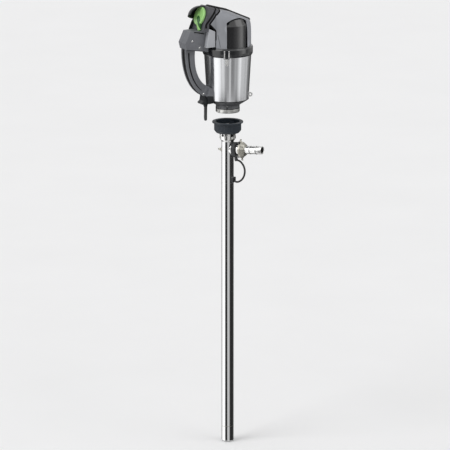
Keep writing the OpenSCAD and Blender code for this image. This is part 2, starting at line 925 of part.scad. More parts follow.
module commutator() {
    color("#b87333") pipe(commutator_z, commutator_height, commutator_r, motor_shaft_r);
}

module motor_shaft() {
    color("lightgray")
        translate([0, 0, shaft_foot_z]) cylinder(r = motor_shaft_r, h = shaft_top_z - shaft_foot_z);
}

module cooling_fan() {
    blades = 9;
    blade = [42, 2, 11];
    hub_r = 14;
    disc = [56, 2];
    color("#e8e4d8") {
        pipe(fan_z, 12, hub_r, motor_shaft_r);
        pipe(fan_z, disc[1], disc[0], hub_r - 0.5);
        for (i = [0:blades - 1])
            rotate([0, 0, i * 360 / blades]) translate([hub_r - 0.5, -blade[1] / 2, fan_z + 1]) cube(blade);
    }
}

module drive_socket() {
    square = drive_square + 0.6;
    color("silver") translate([0, 0, socket_z]) difference() {
        cylinder(r = socket_r, h = socket_height);
        translate([-square / 2, -square / 2, -1]) cube([square, square, socket_depth + 1]);
        translate([0, 0, socket_depth - 1]) cylinder(r = motor_shaft_r, h = socket_height);
    }
}

// At rest the lever points down and towards -Y.
module switch_knob() {
    lever_z = switch_gap + 2;
    spindle = 20;
    color("#9dce7c") on_knob_face() {
        translate([0, 0, switch_gap]) cylinder(r = knob_r - 2, h = knob_height);
        translate([0, 0, -spindle]) cylinder(r = spindle_r, h = spindle + 1);
        rotate([0, 0, lever_angle]) translate([-lever_tail, -lever_size[1] / 2, lever_z]) cube(lever_size);
    }
}

// ---- stored mains cable ----

module run_outline(r) {
    square([2 * hank_half_run, 2 * r], center = true);
    for (end = [-1, 1]) translate([end * hank_half_run, 0]) circle(r = r);
}

module at_hank(near, z) {
    rotate([0, 0, hank_azimuth]) translate([near, 0, z]) rotate([0, 90, 0]) children();
}

module mains_cable() {
    side = [sin(hank_azimuth), -cos(hank_azimuth), 0];
    color("#1a1a1b") tube_along(smooth_route(mains_route, 2), mains_r, 12, side);
}

module cable_hank() {
    color("#1a1a1b") at_hank(hank_near, hank_z) linear_extrude(height = hank_thickness) difference() {
        run_outline(hank_outer_r);
        run_outline(hank_inner_r);
    }
}

module hank_strap() {
    hole = [strap_height + 2, 2 * hank_outer_r, hank_thickness];
    outside = [strap_height, hole[1] + 2 * strap_wall, hank_thickness + 2 * strap_wall];
    root = [hank_near - strap_wall - collar_r + 3, 20, 12];
    color("#2a2a2a") {
        at_hank(hank_near + hank_thickness / 2, strap_z) difference() {
            cube(outside, center = true);
            cube(hole, center = true);
        }
        rotate([0, 0, hank_azimuth]) difference() {
            translate([collar_r - 3, -root[1] / 2, strap_z - root[2] / 2]) cube(root);
            cylinder(r = collar_r, h = strap_z + root[2]);
        }
    }
}

module mains_plug() {
    color("#202022") rotate([0, 0, hank_azimuth]) translate([plug_axis_r, 0, plug_z]) {
        cylinder(r = plug_radius, h = plug_grip);
        translate([0, 0, plug_grip])
            cylinder(r1 = plug_radius, r2 = plug_radius / 2, h = plug_height - plug_grip);
        for (side = [-1, 1])
            translate([0, side * plug_pin[2], -plug_pin[1]])
                cylinder(r = plug_pin[0], h = plug_pin[1], $fn = 24);
    }
}
outer_tube();
tube_head();
inner_tube();
pump_foot();
diffuser();
shaft_bushes();
head_bearing();
shaft_seal();
discharge_branch();
earthing_ring();
tail_gasket();
hose_tail();
earth_stud();
bonding_cable();
cable_clamp();
pump_shaft();
impeller();
hand_nut();
wing_nut();
spigot_ring();
bottom_flange();
flange_screws();
lower_bearing();
motor_can();
can_gasket();
earth_terminal();
collar();
collar_clips();
head_shell();
ridge_strip();
side_panel_right();
side_panel_left();
rear_cap();
switch_visor();
cheek_right();
cheek_left();
handle_half_right();
handle_half_left();
grip_band();
handle_screws();
strain_relief();
switch_body();
terminal_block();
motor_bracket();
upper_bearing();
stator_core();
field_windings();
brush_holders();
carbon_brushes();
hank_strap();
mains_cable();
cable_hank();
mains_plug();
motor_shaft();
armature_core();
commutator();
cooling_fan();
drive_socket();
switch_knob();
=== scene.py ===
"""Electric drum pump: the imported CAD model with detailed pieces, materials, cords, light and camera."""
import json
import math

import bmesh
import bpy
from mathutils import Matrix, Vector

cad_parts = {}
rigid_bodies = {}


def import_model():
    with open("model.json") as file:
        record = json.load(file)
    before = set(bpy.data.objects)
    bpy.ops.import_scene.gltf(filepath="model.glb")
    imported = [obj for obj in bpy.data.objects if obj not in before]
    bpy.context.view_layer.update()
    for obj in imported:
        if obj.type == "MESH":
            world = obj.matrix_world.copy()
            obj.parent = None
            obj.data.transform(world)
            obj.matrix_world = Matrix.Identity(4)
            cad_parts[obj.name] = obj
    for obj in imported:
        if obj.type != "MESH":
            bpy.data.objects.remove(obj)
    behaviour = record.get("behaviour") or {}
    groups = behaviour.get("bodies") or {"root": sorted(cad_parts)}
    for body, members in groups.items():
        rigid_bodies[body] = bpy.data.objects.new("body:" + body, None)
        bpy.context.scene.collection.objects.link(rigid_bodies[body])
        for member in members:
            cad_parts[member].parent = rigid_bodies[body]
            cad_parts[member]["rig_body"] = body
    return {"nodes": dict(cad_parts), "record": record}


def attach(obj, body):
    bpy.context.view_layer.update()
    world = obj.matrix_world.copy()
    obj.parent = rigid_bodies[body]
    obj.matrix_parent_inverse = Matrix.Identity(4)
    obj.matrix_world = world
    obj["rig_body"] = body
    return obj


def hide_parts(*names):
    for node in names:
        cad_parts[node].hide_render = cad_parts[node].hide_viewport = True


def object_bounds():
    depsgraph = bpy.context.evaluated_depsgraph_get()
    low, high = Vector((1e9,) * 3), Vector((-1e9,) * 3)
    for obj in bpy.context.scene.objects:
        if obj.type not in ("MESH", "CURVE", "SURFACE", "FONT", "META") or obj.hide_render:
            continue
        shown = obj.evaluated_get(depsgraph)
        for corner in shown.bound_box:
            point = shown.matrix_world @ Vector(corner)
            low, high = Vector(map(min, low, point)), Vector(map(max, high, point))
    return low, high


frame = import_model()
CAD_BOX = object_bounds()
NODES = frame["nodes"]
MM = 0.001

# ---- camera ----

VIEW_AZIMUTH = math.radians(-28)
VIEW_ELEVATION = math.radians(12.3)
VIEW_DISTANCE = 12.0
AIM_RIGHT = -0.009
AIM_HEIGHT = -0.2415
LENS = 294.0
TOWARDS_CAMERA = Vector((math.sin(VIEW_AZIMUTH), -math.cos(VIEW_AZIMUTH), 0))
RIGHT_OF_CAMERA = Vector((math.cos(VIEW_AZIMUTH), math.sin(VIEW_AZIMUTH), 0))
UP = Vector((0, 0, 1))


def link(obj):
    bpy.context.scene.collection.objects.link(obj)
    return obj


def make_camera():
    data = bpy.data.cameras.new("camera")
    data.lens = LENS
    data.clip_end = 60
    camera = link(bpy.data.objects.new("camera", data))
    aim = RIGHT_OF_CAMERA * AIM_RIGHT + UP * AIM_HEIGHT
    level = TOWARDS_CAMERA * VIEW_DISTANCE
    camera.location = level + UP * (0.2 + VIEW_DISTANCE * math.tan(VIEW_ELEVATION))
    camera.rotation_euler = (camera.location - aim).to_track_quat("Z", "Y").to_euler()
    bpy.context.scene.camera = camera


make_camera()

# ---- materials ----


class Look:
    """A material's node tree, built a node at a time."""

    def __init__(self, name, **sockets):
        self.name = name
        self.material = bpy.data.materials.new(name)
        self.material.use_nodes = True
        self.tree = self.material.node_tree
        self.shader = self.tree.nodes["Principled BSDF"]
        for key, value in sockets.items():
            self.shader.inputs[key.replace("_", " ")].default_value = value

    def node(self, kind, **settings):
        made = self.tree.nodes.new("ShaderNode" + kind)
        for key, value in settings.items():
            if hasattr(made, key):
                setattr(made, key, value)
            else:
                made.inputs[key.replace("_", " ")].default_value = value
        return made

    def link(self, a, b):
        self.tree.links.new(a, b)

    def place(self, scale=(1, 1, 1)):
        """Object coordinates, stretched by scale."""
        coords = self.node("TexCoord")
        mapping = self.node("Mapping")
        mapping.inputs["Scale"].default_value = scale
        self.link(coords.outputs["Object"], mapping.inputs["Vector"])
        return mapping.outputs["Vector"]

    def noise(self, scale, detail=3.0, stretch=(1, 1, 1), roughness=0.5):
        made = self.node("TexNoise", Scale=scale, Detail=detail, Roughness=roughness)
        self.link(self.place(stretch), made.inputs["Vector"])
        return made.outputs["Fac"]

    def ramp(self, value, low, high, dark, light):
        """Colours from dark to light as value goes from low to high."""
        made = self.node("ValToRGB")
        stops = made.color_ramp.elements
        stops[0].position, stops[1].position = low, high
        stops[0].color = (*dark, 1)
        stops[1].color = (*light, 1)
        self.link(value, made.inputs["Fac"])
        return made.outputs["Color"]

    def between(self, value, low, high, first=0, last=1):
        """value's run from first to last, spread over low to high."""
        made = self.node("MapRange", From_Min=first, From_Max=last, To_Min=low, To_Max=high)
        self.link(value, made.inputs["Value"])
        return made.outputs["Result"]

    def mix(self, share, a, b):
        made = self.node("Mix", data_type="RGBA")
        self.link(share, made.inputs["Factor"])
        for socket, value in ((made.inputs[6], a), (made.inputs[7], b)):
            if isinstance(value, tuple):
                socket.default_value = (*value, 1)
            else:
                self.link(value, socket)
        return made.outputs[2]

    def edges(self):
        """1 on outer edges, 0 on flats."""
        geometry = self.node("NewGeometry")
        return self.between(geometry.outputs["Pointiness"], 0, 1, 0.5, 0.56)

    def bump(self, value, depth, distance=0.001):
        made = self.node("Bump", Strength=depth, Distance=distance)
        self.link(value, made.inputs["Height"])
        self.link(made.outputs["Normal"], self.shader.inputs["Normal"])

    def set(self, socket, value):
        self.link(value, self.shader.inputs[socket])
        return self


def scaled(color, factor):
    return tuple(min(1.0, c * factor) for c in color)


def moulded(name, color, roughness, grain=900, depth=0.25, coat=0.0):
    """Injection-moulded plastic: fine spark grain, faint mottling, edges rubbed a little lighter."""
    look = Look(name, Roughness=roughness, IOR=1.49, Coat_Weight=coat, Coat_Roughness=0.08)
    mottled = look.ramp(look.noise(28, 4), 0.3, 0.72, scaled(color, 0.93), scaled(color, 1.07))
    look.set("Base Color", look.mix(look.edges(), mottled, scaled(color, 1.35)))
    look.set("Roughness", look.between(look.noise(60, 3), roughness - 0.06, roughness + 0.06))
    look.bump(look.noise(grain, 2), depth, 0.0004)
    return look


def steel(name, color, roughness, streak=(1, 1, 1), scale=60, depth=0.05, spread=0.05, smudge=0.04):
    """Bare steel: drawn or brushed streaks along the stretched direction, with faint handling marks."""
    look = Look(name, Metallic=1.0, Roughness=roughness)
    lines = look.noise(scale, 6, streak, 0.65)
    marks = look.noise(9, 4)
    look.set("Base Color", look.ramp(lines, 0.25, 0.75, scaled(color, 1 - spread), scaled(color, 1 + spread)))
    total = look.node("Math", operation="ADD")
    look.link(look.between(lines, roughness - 0.03, roughness + 0.05), total.inputs[0])
    look.link(look.between(marks, -smudge, smudge), total.inputs[1])
    look.set("Roughness", total.outputs[0])
    look.bump(lines, depth, 0.0003)
    return look


def rubber(name, color, roughness=0.62, grain=420, depth=0.3):
    """Rubber: matt, dusty in patches, with a fine pitted skin."""
    look = Look(name, Roughness=roughness, IOR=1.52)
    dusty = look.ramp(look.noise(34, 5), 0.45, 0.8, color, tuple(c + 0.02 for c in color))
    look.set("Base Color", look.mix(look.edges(), dusty, tuple(c + 0.03 for c in color)))
    look.set("Roughness", look.between(look.noise(90, 3), roughness - 0.1, roughness + 0.1))
    look.bump(look.noise(grain, 3), depth, 0.0003)
    return look


def cast_metal(name, color, roughness, metallic=0.6):
    """Coated casting: soft lumps under a satin skin."""
    look = Look(name, Roughness=roughness, Metallic=metallic)
    mottled = look.ramp(look.noise(55, 5), 0.3, 0.7, scaled(color, 0.85), scaled(color, 1.15))
    look.set("Base Color", look.mix(look.edges(), mottled, scaled(color, 1.5)))
    look.set("Roughness", look.between(look.noise(40, 3), roughness - 0.08, roughness + 0.08))
    look.bump(look.noise(260, 4), 0.35, 0.0005)
    return look


def void_black(name, level, roughness):
    """Near-black matt skin for dark joints, grooves and rubber edging, and for painted shade in recesses,
    openings and shadow lines: it gives almost nothing back.
    """
    look = Look(name, Roughness=roughness, Specular_IOR_Level=0.12)
    look.set("Base Color", look.ramp(look.noise(70, 3), 0.3, 0.7, (level,) * 3, (level * 1.6,) * 3))
    look.set("Roughness", look.between(look.noise(120, 2), roughness - 0.08, roughness + 0.08))
    return look


def laminated(name, color):
    """Stacked iron sheets: fine level lines."""
    look = Look(name, Metallic=0.8, Roughness=0.45)
    lines = look.noise(200, 1, (0.05, 0.05, 4))
    look.set("Base Color", look.ramp(lines, 0.4, 0.6, scaled(color, 0.6), scaled(color, 1.2)))
    look.bump(lines, 0.5, 0.0004)
    return look


VERTICAL = (9, 9, 0.12)
LOOKS = {look.name: look.material for look in (
    steel("polished_steel", (0.9, 0.905, 0.91), 0.1, VERTICAL, 40, 0.02, 0.03, 0.03),
    steel("machined_steel", (0.7, 0.71, 0.72), 0.28, (1, 1, 6), 120, 0.08, 0.08),
    steel("brushed_can", (0.82, 0.83, 0.85), 0.13, VERTICAL, 90, 0.03, 0.05, 0.02),
    moulded("rotor_plastic", (0.72, 0.7, 0.62), 0.45),
    moulded("carbon_seal", (0.03, 0.03, 0.032), 0.5),
    moulded("nut_plastic", (0.018, 0.025, 0.034), 0.34, 700, 0.2),
    steel("wing_metal", (0.52, 0.505, 0.45), 0.38, (1, 1, 1), 160, 0.25, 0.12),
    moulded("black_plastic", (0.012, 0.013, 0.015), 0.3, 800, 0.15),
    moulded("collar_gloss", (0.009, 0.010, 0.012), 0.16, 500, 0.04, 0.8),
    moulded("window_gloss", (0.010, 0.010, 0.011), 0.2, 500, 0.04, 1.0),
    rubber("rubber", (0.012, 0.012, 0.013)),
    rubber("cable_rubber", (0.014, 0.014, 0.015), 0.55),
    cast_metal("flange_alloy", (0.11, 0.112, 0.118), 0.4),
    steel("brass", (0.83, 0.76, 0.55), 0.22, (1, 1, 1), 90, 0.05),
    moulded("hood_grey", (0.245, 0.252, 0.272), 0.42, 1100, 0.3),
    moulded("cheek_grey", (0.33, 0.337, 0.357), 0.42, 1100, 0.3),
    steel("bright_steel", (0.92, 0.92, 0.91), 0.16, (3, 3, 3), 60, 0.03, 0.04),
    steel("satin_bright", (0.95, 0.95, 0.94), 0.3, (3, 3, 3), 60, 0.03, 0.03),
    rubber("ring_grey", (0.028, 0.03, 0.033), 0.5, 300, 0.4),
    steel("spigot_steel", (0.72, 0.72, 0.7), 0.3, (0.12, 0.12, 6), 90, 0.06, 0.12),
    moulded("cap_grey", (0.052, 0.052, 0.06), 0.4, 1100, 0.3),
    moulded("handle_grey", (0.105, 0.108, 0.118), 0.48, 600, 0.55),
    moulded("knob_green", (0.32, 0.60, 0.20), 0.3, 900, 0.12, 0.2),
    # Darker green: painted shade on the knob lever's right flank.
    moulded("knob_green_painted_shade", (0.012, 0.07, 0.01), 0.4, 900, 0.12),
    moulded("inner_plastic", (0.06, 0.06, 0.06), 0.5),
    laminated("laminated_iron", (0.32, 0.33, 0.34)),
    steel("copper", (0.78, 0.4, 0.18), 0.3, (1, 1, 8), 90, 0.2, 0.15),
    # Near-black for seams and grooves, also used as painted shade in screw recesses, drain windows and shadow
    # lines.
    void_black("groove_and_shade_black", 0.0025, 0.6),
    void_black("edging_black", 0.006, 0.5),
)}


def paint(obj, look):
    obj.data.materials.clear()
    obj.data.materials.append(LOOKS[look])
    return obj


SLOT_OF = {part["node"]: part["material_slot"] for part in frame["record"]["subparts"]}
for node_name, node_object in NODES.items():
    paint(node_object, SLOT_OF[node_name])

# ---- making pieces ----


def piece(name, body, look, node=None, data=None):
    """A new object that rides on a body; with node, it stands for that CAD node or nodes."""
    obj = link(bpy.data.objects.new(name, data or bpy.data.meshes.new(name)))
    if data is not None and look:
        paint(obj, look)
    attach(obj, body)
    if node:
        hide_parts(*([node] if isinstance(node, str) else node))
    return obj


def mesh_data(name, bm):
    """The bmesh as mesh data; the bmesh is freed."""
    data = bpy.data.meshes.new(name)
    bm.to_mesh(data)
    bm.free()
    return data


def cad_copy(node):
    bm = bmesh.new()
    bm.from_mesh(NODES[node].data)
    return bm


def mesh_from(name, bm, smooth_angle=35):
    bmesh.ops.remove_doubles(bm, verts=bm.verts, dist=1e-6)
    bmesh.ops.dissolve_degenerate(bm, dist=1e-6, edges=bm.edges)
    bmesh.ops.recalc_face_normals(bm, faces=bm.faces)
    data = mesh_data(name, bm)
    smooth(data, smooth_angle)
    return data


def dress(name, body, look, bm, angle=35, node=None):
    """A piece from a bmesh, which is freed."""
    return piece(name, body, look, node, mesh_from(name, bm, angle))


def smooth(data, angle):
    """Smooth shading, with edges sharper than angle left sharp."""
    limit = math.radians(angle)
    bm = bmesh.new()
    bm.from_mesh(data)
    for face in bm.faces:
        face.smooth = True
    for edge in bm.edges:
        edge.smooth = len(edge.link_faces) != 2 or edge.calc_face_angle(0) < limit
    bm.to_mesh(data)
    bm.free()


def bridge(bm, rings, closed=True, capped=False):
    """Faces between neighbouring rings of points; closed joins each ring's last point to its first."""
    for a, b in zip(rings, rings[1:]):
        count = len(a)
        for i in range(count if closed else count - 1):
            j = (i + 1) % count
            bm.faces.new((a[i], a[j], b[j], b[i]))
    if capped:
        bm.faces.new(rings[0])
        bm.faces.new(rings[-1])
    return bm


def turned(profile, place=Matrix(), steps=128, radius=None):
    """Mesh turned about +Z from (r, z) points in millimetres; radius(r, z, angle) may reshape it."""
    bm = bmesh.new()
    rings = []
    for k in range(steps):
        angle = 2 * math.pi * k / steps
        ring = []
        for r, z in profile:
            rr = radius(r, z, angle) if radius else r
            point = Vector((rr * math.cos(angle), rr * math.sin(angle), z)) * MM
            ring.append(bm.verts.new(place @ point))
        rings.append(ring)
    return bridge(bm, rings + rings[:1])


def rounded(points, radius, steps=4, closed=True):
    """A 2D outline with its corners rounded; radius is one number or one for each point."""
    out = []
    count = len(points)
    for i, p in enumerate(points):
        r = radius[i] if isinstance(radius, (list, tuple)) else radius
        if r <= 0 or (not closed and i in (0, count - 1)):
            out.append(tuple(p))
            continue
        here = Vector(p)
        before = Vector(points[i - 1]) - here
        after = Vector(points[(i + 1) % count]) - here
        turn = before.angle(after)
        reach = min(r / max(math.tan(turn / 2), 1e-3), 0.48 * before.length, 0.48 * after.length)
        start = here + before.normalized() * reach
        end = here + after.normalized() * reach
        for k in range(steps + 1):
            t = k / steps
            out.append(tuple(start * (1 - t) ** 2 + here * 2 * t * (1 - t) + end * t * t))
    return out


def bezier(p, steps):
    """Cubic curve through 2D control points, as steps + 1 points."""
    out = []
    for k in range(steps + 1):
        t = k / steps
        weights = ((1 - t) ** 3, 3 * t * (1 - t) ** 2, 3 * t * t * (1 - t), t ** 3)
        out.append(tuple(sum(w * q[axis] for w, q in zip(weights, p)) for axis in (0, 1)))
    return out


def shrunk(points, distance):
    """A closed outline moved inwards by distance along its corner bisectors."""
    area = sum(a[0] * b[1] - b[0] * a[1] for a, b in zip(points, points[1:] + points[:1]))
    side = 1 if area > 0 else -1
    out = []
    for i, p in enumerate(points):
        a = (Vector(p) - Vector(points[i - 1])).normalized()
        b = (Vector(points[(i + 1) % len(points)]) - Vector(p)).normalized()
        along = a + b
        if along.length < 1e-6:
            out.append(tuple(p))
            continue
        along.normalize()
        normal = Vector((-along.y, along.x)) * side
        out.append(tuple(Vector(p) + normal * distance / max(0.5, along.dot(a))))
    return out


def slab(outline, near, far, near_round=0.0, far_round=0.0, steps=5, place=None):
    """Solid between two planes from a closed 2D outline, with its near and far rims rounded.

    The outline lies in X-Z and near and far are along Y, unless place maps (x, y, z) elsewhere."""
    bm = bmesh.new()
    levels = []
    way = 1 if far > near else -1
    for k in range(steps + 1):
        a = math.pi / 2 * k / steps
        levels.append((near_round * (1 - math.sin(a)), near + way * near_round * (1 - math.cos(a))))
    for k in range(steps + 1):
        a = math.pi / 2 * (1 - k / steps)
        levels.append((far_round * (1 - math.sin(a)), far - way * far_round * (1 - math.cos(a))))
    rings = []
    before = None
    for inset, y in levels:
        if before and abs(before[0] - inset) < 1e-6 and abs(before[1] - y) < 1e-6:
            continue
        before = (inset, y)
        flat = shrunk(outline, inset) if inset > 1e-6 else outline
        ring = []
        for x, z in flat:
            point = Vector((x, y, z)) * MM
            ring.append(bm.verts.new(place @ point if place else point))
        rings.append(ring)
    return bridge(bm, rings, capped=True)


def swept(path, radius, sides=16, flat=1.0):
    """Tube along 3D points in millimetres; radius is a number or radius(share of the way)."""
    points = [Vector(p) for p in path]
    bm = bmesh.new()
    rings = []
    side = None
    for i, p in enumerate(points):
        along = (points[min(i + 1, len(points) - 1)] - points[max(i - 1, 0)]).normalized()
        if side is None:
            side = along.orthogonal().normalized()
        side = (side - along * side.dot(along)).normalized()
        other = along.cross(side)
        r = radius(i / (len(points) - 1)) if callable(radius) else radius
        ring = []
        for k in range(sides):
            a = 2 * math.pi * k / sides
            ring.append(bm.verts.new((p + r * (math.cos(a) * side + flat * math.sin(a) * other)) * MM))
        rings.append(ring)
    return bridge(bm, rings, capped=True)


def joined(*parts):
    """One bmesh out of several, which are freed."""
    whole = parts[0]
    for part in parts[1:]:
        data = mesh_data("part", part)
        whole.from_mesh(data)
        bpy.data.meshes.remove(data)
    return whole


def flow(points, steps):
    """Smooth curve through 3D points."""
    p = [Vector(q) for q in points]
    out = []
    for i in range(len(p) - 1):
        a, b, c, d = p[max(i - 1, 0)], p[i], p[i + 1], p[min(i + 2, len(p) - 1)]
        for k in range(steps):
            t = k / steps
            out.append(0.5 * (2 * b + (c - a) * t + (2 * a - 5 * b + 4 * c - d) * t * t
                              + (3 * b - a - 3 * c + d) * t ** 3))
    out.append(p[-1])
    return out


def box_outline(half, low, high):
    return [(-half, low), (half, low), (half, high), (-half, high)]


def bevelled(width, segments, angle):
    """Modifier that rounds edges sharper than angle by width millimetres."""
    return "BEVEL", {"width": width * MM, "segments": segments, "limit_method": "ANGLE",
                     "angle_limit": math.radians(angle), "use_clamp_overlap": True}


def cut_by(tool):
    return "BOOLEAN", {"operation": "DIFFERENCE", "object": tool, "solver": "EXACT"}


def baked(obj, changes):
    """The object's mesh data after modifiers, each given as a kind and its settings."""
    for kind, settings in changes:
        added = obj.modifiers.new(kind, kind)
        for key, value in settings.items():
            setattr(added, key, value)
    bpy.context.view_layer.update()
    return bpy.data.meshes.new_from_object(obj.evaluated_get(bpy.context.evaluated_depsgraph_get()))


def cut_level(bm, height, normal, clear=False):
    """Cut every face at a height on the axis; clear removes what lies on the normal's side."""
    bmesh.ops.bisect_plane(bm, geom=bm.verts[:] + bm.edges[:] + bm.faces[:], plane_no=normal,
                           plane_co=Vector((0, 0, height)) * MM, clear_outer=clear)


def soften(node, width, look=None):
    """The CAD node's own shape with its sharp edges rounded by width millimetres."""
    bm = cad_copy(node)
    bmesh.ops.remove_doubles(bm, verts=bm.verts, dist=1e-6)
    bmesh.ops.dissolve_limit(bm, angle_limit=math.radians(0.8), verts=bm.verts, edges=bm.edges)
    data = mesh_data(node, bm)
    obj = piece(node + "_finished", NODES[node]["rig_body"], look or SLOT_OF[node], node, data)
    data = baked(obj, [bevelled(width, 3, 32)])
    obj.modifiers.clear()
    obj.data = data
    smooth(data, 40)


def around_z(angle_deg):
    return Matrix.Rotation(math.radians(angle_deg), 4, "Z")


def about_x(angle_deg):
    return Matrix.Rotation(math.radians(angle_deg), 4, "X")


def moved(x, y, z):
    return Matrix.Translation(Vector((x, y, z)) * MM)

# ---- cords ----

HANK_AZIMUTH = 62
HANK_NEAR = 88
HANK_THICKNESS = 31
HANK_HEIGHT = 316
HALF_RUN = 73.5
FOLD_RADII = (50, 40, 30)
MAINS_DIAMETER = 10
PLUG_FOOT = 241
MAINS_ROUTE = [
    (-84, 0, 176), (-84, 0, 166), (-83, 2, 152), (-79, 10, 137), (-72, 22, 127), (-64, 37, 124),
    (-56, 52, 127), (-49, 65, 137), (-45, 72, 152), (-44, 75, 166), (-42, 78, 180),
    (-35, 83, 194), (-24, 90, 208), (-12, 98, 222), (-3, 104, 236), (0, 106, 252),
]
OUT_OF_HANK = Vector((math.cos(math.radians(HANK_AZIMUTH)), math.sin(math.radians(HANK_AZIMUTH)), 0))
ALONG_HANK = Vector((OUT_OF_HANK.y, -OUT_OF_HANK.x, 0))


def in_hank(across, height, depth):
    """A point of the hank: across, height from its middle and depth from its near layer."""
    out = OUT_OF_HANK * (HANK_NEAR + MAINS_DIAMETER / 2 + depth)
    return out + ALONG_HANK * across + UP * (HANK_HEIGHT + height)


def hank_points():
    """Three layers of three turns, then the last run bends into the eye towards the plug."""
    points = []
    layers = [0.0, 10.4, 20.8]
    arc_steps = 10
    turns = [(r, d) for n, d in enumerate(layers) for r in (FOLD_RADII if n % 2 == 0 else FOLD_RADII[::-1])]
    for n, (r, depth) in enumerate(turns):
        after_r, after_depth = turns[n + 1] if n + 1 < len(turns) else (r, depth)
        for h in ((-30, 20) if n == 0 else (-40, 0, 40)):
            points.append(in_hank(-r, h, depth))
        for k in range(arc_steps + 1):
            a = math.pi * (1 - k / arc_steps)
            points.append(in_hank(r * math.cos(a), HALF_RUN + r * math.sin(a), depth))
        if n + 1 == len(turns):
            break
        for h in (30, -30):
            points.append(in_hank(r, h, depth))
        for k in range(arc_steps + 1):
            share = k / arc_steps
            a = -math.pi * share
            rr = r + (after_r - r) * share
            dd = depth + (after_depth - depth) * share
            points.append(in_hank(rr * math.cos(a), -HALF_RUN + rr * math.sin(a), dd))
    last_r, last_depth = turns[-1]
    centre = HANK_THICKNESS / 2 - MAINS_DIAMETER / 2
    for h, share in ((48, 0.06), (34, 0.3), (18, 0.7), (4, 0.94), (-8, 1.0), (-26, 1.0)):
        points.append(in_hank(last_r * (1 - share), h, last_depth + (centre - last_depth) * share))
    return points


def mains_cable():
    first = flow(MAINS_ROUTE, 3)
    path = first + flow(hank_points(), 2)[1:]
    bm = swept(path, MAINS_DIAMETER / 2, 12)
    made = piece("mains_cable_whole", "motor", "cable_rubber",
                 ["mains_cable", "cable_hank"], mesh_from("mains_cable_whole", bm, 60))
    mains_plug()
    return made


def mains_plug():
    """Two-pin earthed plug, moulded on, in the hank's eye."""
    foot = in_hank(0, 0, HANK_THICKNESS / 2 - MAINS_DIAMETER / 2)
    place = Matrix.Translation(Vector((foot.x, foot.y, PLUG_FOOT)) * MM) @ around_z(HANK_AZIMUTH)
    body = [(0, 0), (15.5, 0), (17, 1.5), (17, 10), (16, 12), (16, 22), (17, 24), (17, 33),
            (15, 40), (10, 48), (8, 52)]
    relief = []
    for k in range(5):
        z = 52 + 4.4 * k
        rib_r, groove_r = 7.6 - 0.35 * k, 6.2 - 0.2 * k
        relief += [(rib_r, z), (rib_r, z + 2.4), (groove_r, z + 2.8), (groove_r, z + 4.2)]
    profile = rounded(body, 1.5, 3, closed=False) + relief[:-2] + [(0, 52 + 4.4 * 4 + 2.4)]

    def ribbed(r, z, angle):
        return r - (0.5 if 12 < z < 22 and math.cos(24 * angle) > 0 else 0)

    parts = [turned(profile, place, 96, ribbed)]
    for y in (-9.5, 9.5):
        pin = [(0, -19), (1.4, -19), (2.4, -17.8), (2.4, 0.5), (0, 0.5)]
        parts.append(turned(pin, place @ moved(0, y, 0), 24))
    made = dress("mains_plug_detail", "motor", "black_plastic",
                 joined(*parts), 35, "mains_plug")
    made.data.materials.append(LOOKS["brass"])
    for face in made.data.polygons:
        local = place.inverted() @ face.center
        if local.z < -0.0002 and abs(local.x) < 0.003:
            face.material_index = 1
    return made


BRANCH_AZIMUTH = math.radians(-57)
BRANCH_TILT = math.radians(5)
BRANCH_HEIGHT = 20
BRANCH_OUT = Vector((math.cos(BRANCH_AZIMUTH), math.sin(BRANCH_AZIMUTH), 0))
BONDING_DIAMETER = 6.5
BONDING_ROUTE = [
    (29, -14), (37, -13), (46, -15), (54, -21), (61, -30), (65, -42), (65, -55),
    (61, -68), (53, -79), (43, -86), (33, -88), (25, -85),
]


def bonding_cable():
    path = flow([BRANCH_OUT * s + UP * z for s, z in BONDING_ROUTE], 5)
    bm = swept(path, BONDING_DIAMETER / 2, 16)
    made = dress("bonding_cable_detail", "pump_tube", "cable_rubber",
                 bm, 60, "bonding_cable")


mains_cable()
bonding_cable()

# ---- hood ----

HOOD_R = 78
COLLAR_TOP = 378
CROWN_R = 240
CROWN_KNEE = (-6, 495.5)
REAR_SLOPE = math.radians(16)
FRONT_SLOPE = math.radians(24)
REAR_HALF_WIDTH = 42
RIDGE_REAR = -80
SEAM_LOW = (-91, 462)
SEAM_HIGH = (-11, 550)


def roof_height(x, y):
    """Height of the crowned roof over a point: the lower of its rear and front slopes."""
    sag = CROWN_R - math.sqrt(CROWN_R ** 2 - y * y)
    heights = []
    for slope in (REAR_SLOPE, FRONT_SLOPE):
        along = (x - CROWN_KNEE[0])
        heights.append(CROWN_KNEE[1] - along * math.tan(slope) - sag / math.cos(slope))
    return min(heights)


def side_of_hood(x):
    """Half width of the hood at x: its round plan, or the flat rear sides where they stand farther out."""
    round_half = math.sqrt(max(0, HOOD_R ** 2 - x * x)) if abs(x) < HOOD_R else 0
    return max(round_half, REAR_HALF_WIDTH) if x < 0 else round_half


def ridge():
    """Raised black rib along the roof's crest, rounded across, with its ends run into the skin."""
    half, rise = 14, 5.4
    bm = bmesh.new()
    rings = []
    steps = 60
    for k in range(steps + 1):
        x = RIDGE_REAR + (HOOD_R - 0.5 - RIDGE_REAR) * k / steps
        fade = min(1, (x - RIDGE_REAR) / 6)
        ring = []
        for j in range(13):
            y = half * (-1 + j / 6)
            across = math.sqrt(max(0, 1 - (y / half) ** 4))
            top = roof_height(x, y) - 1.2 + (rise + 1.2) * across * max(0.15, fade)
            ring.append(bm.verts.new(Vector((x, y, top)) * MM))
        for y in (half, -half):
            ring.append(bm.verts.new(Vector((x, y, roof_height(x, y) - 1.4)) * MM))
        rings.append(ring)
    bridge(bm, rings, capped=True)
    dress("ridge_strip_detail", "motor", "edging_black", bm, 50, "ridge_strip")


ridge()

# ---- rotary switch ----

KNOB_CENTRE = Vector((-100, 0, 483))
KNOB_TILT = math.radians(20)
KNOB_R = 31
LEVER_ANGLE = 208


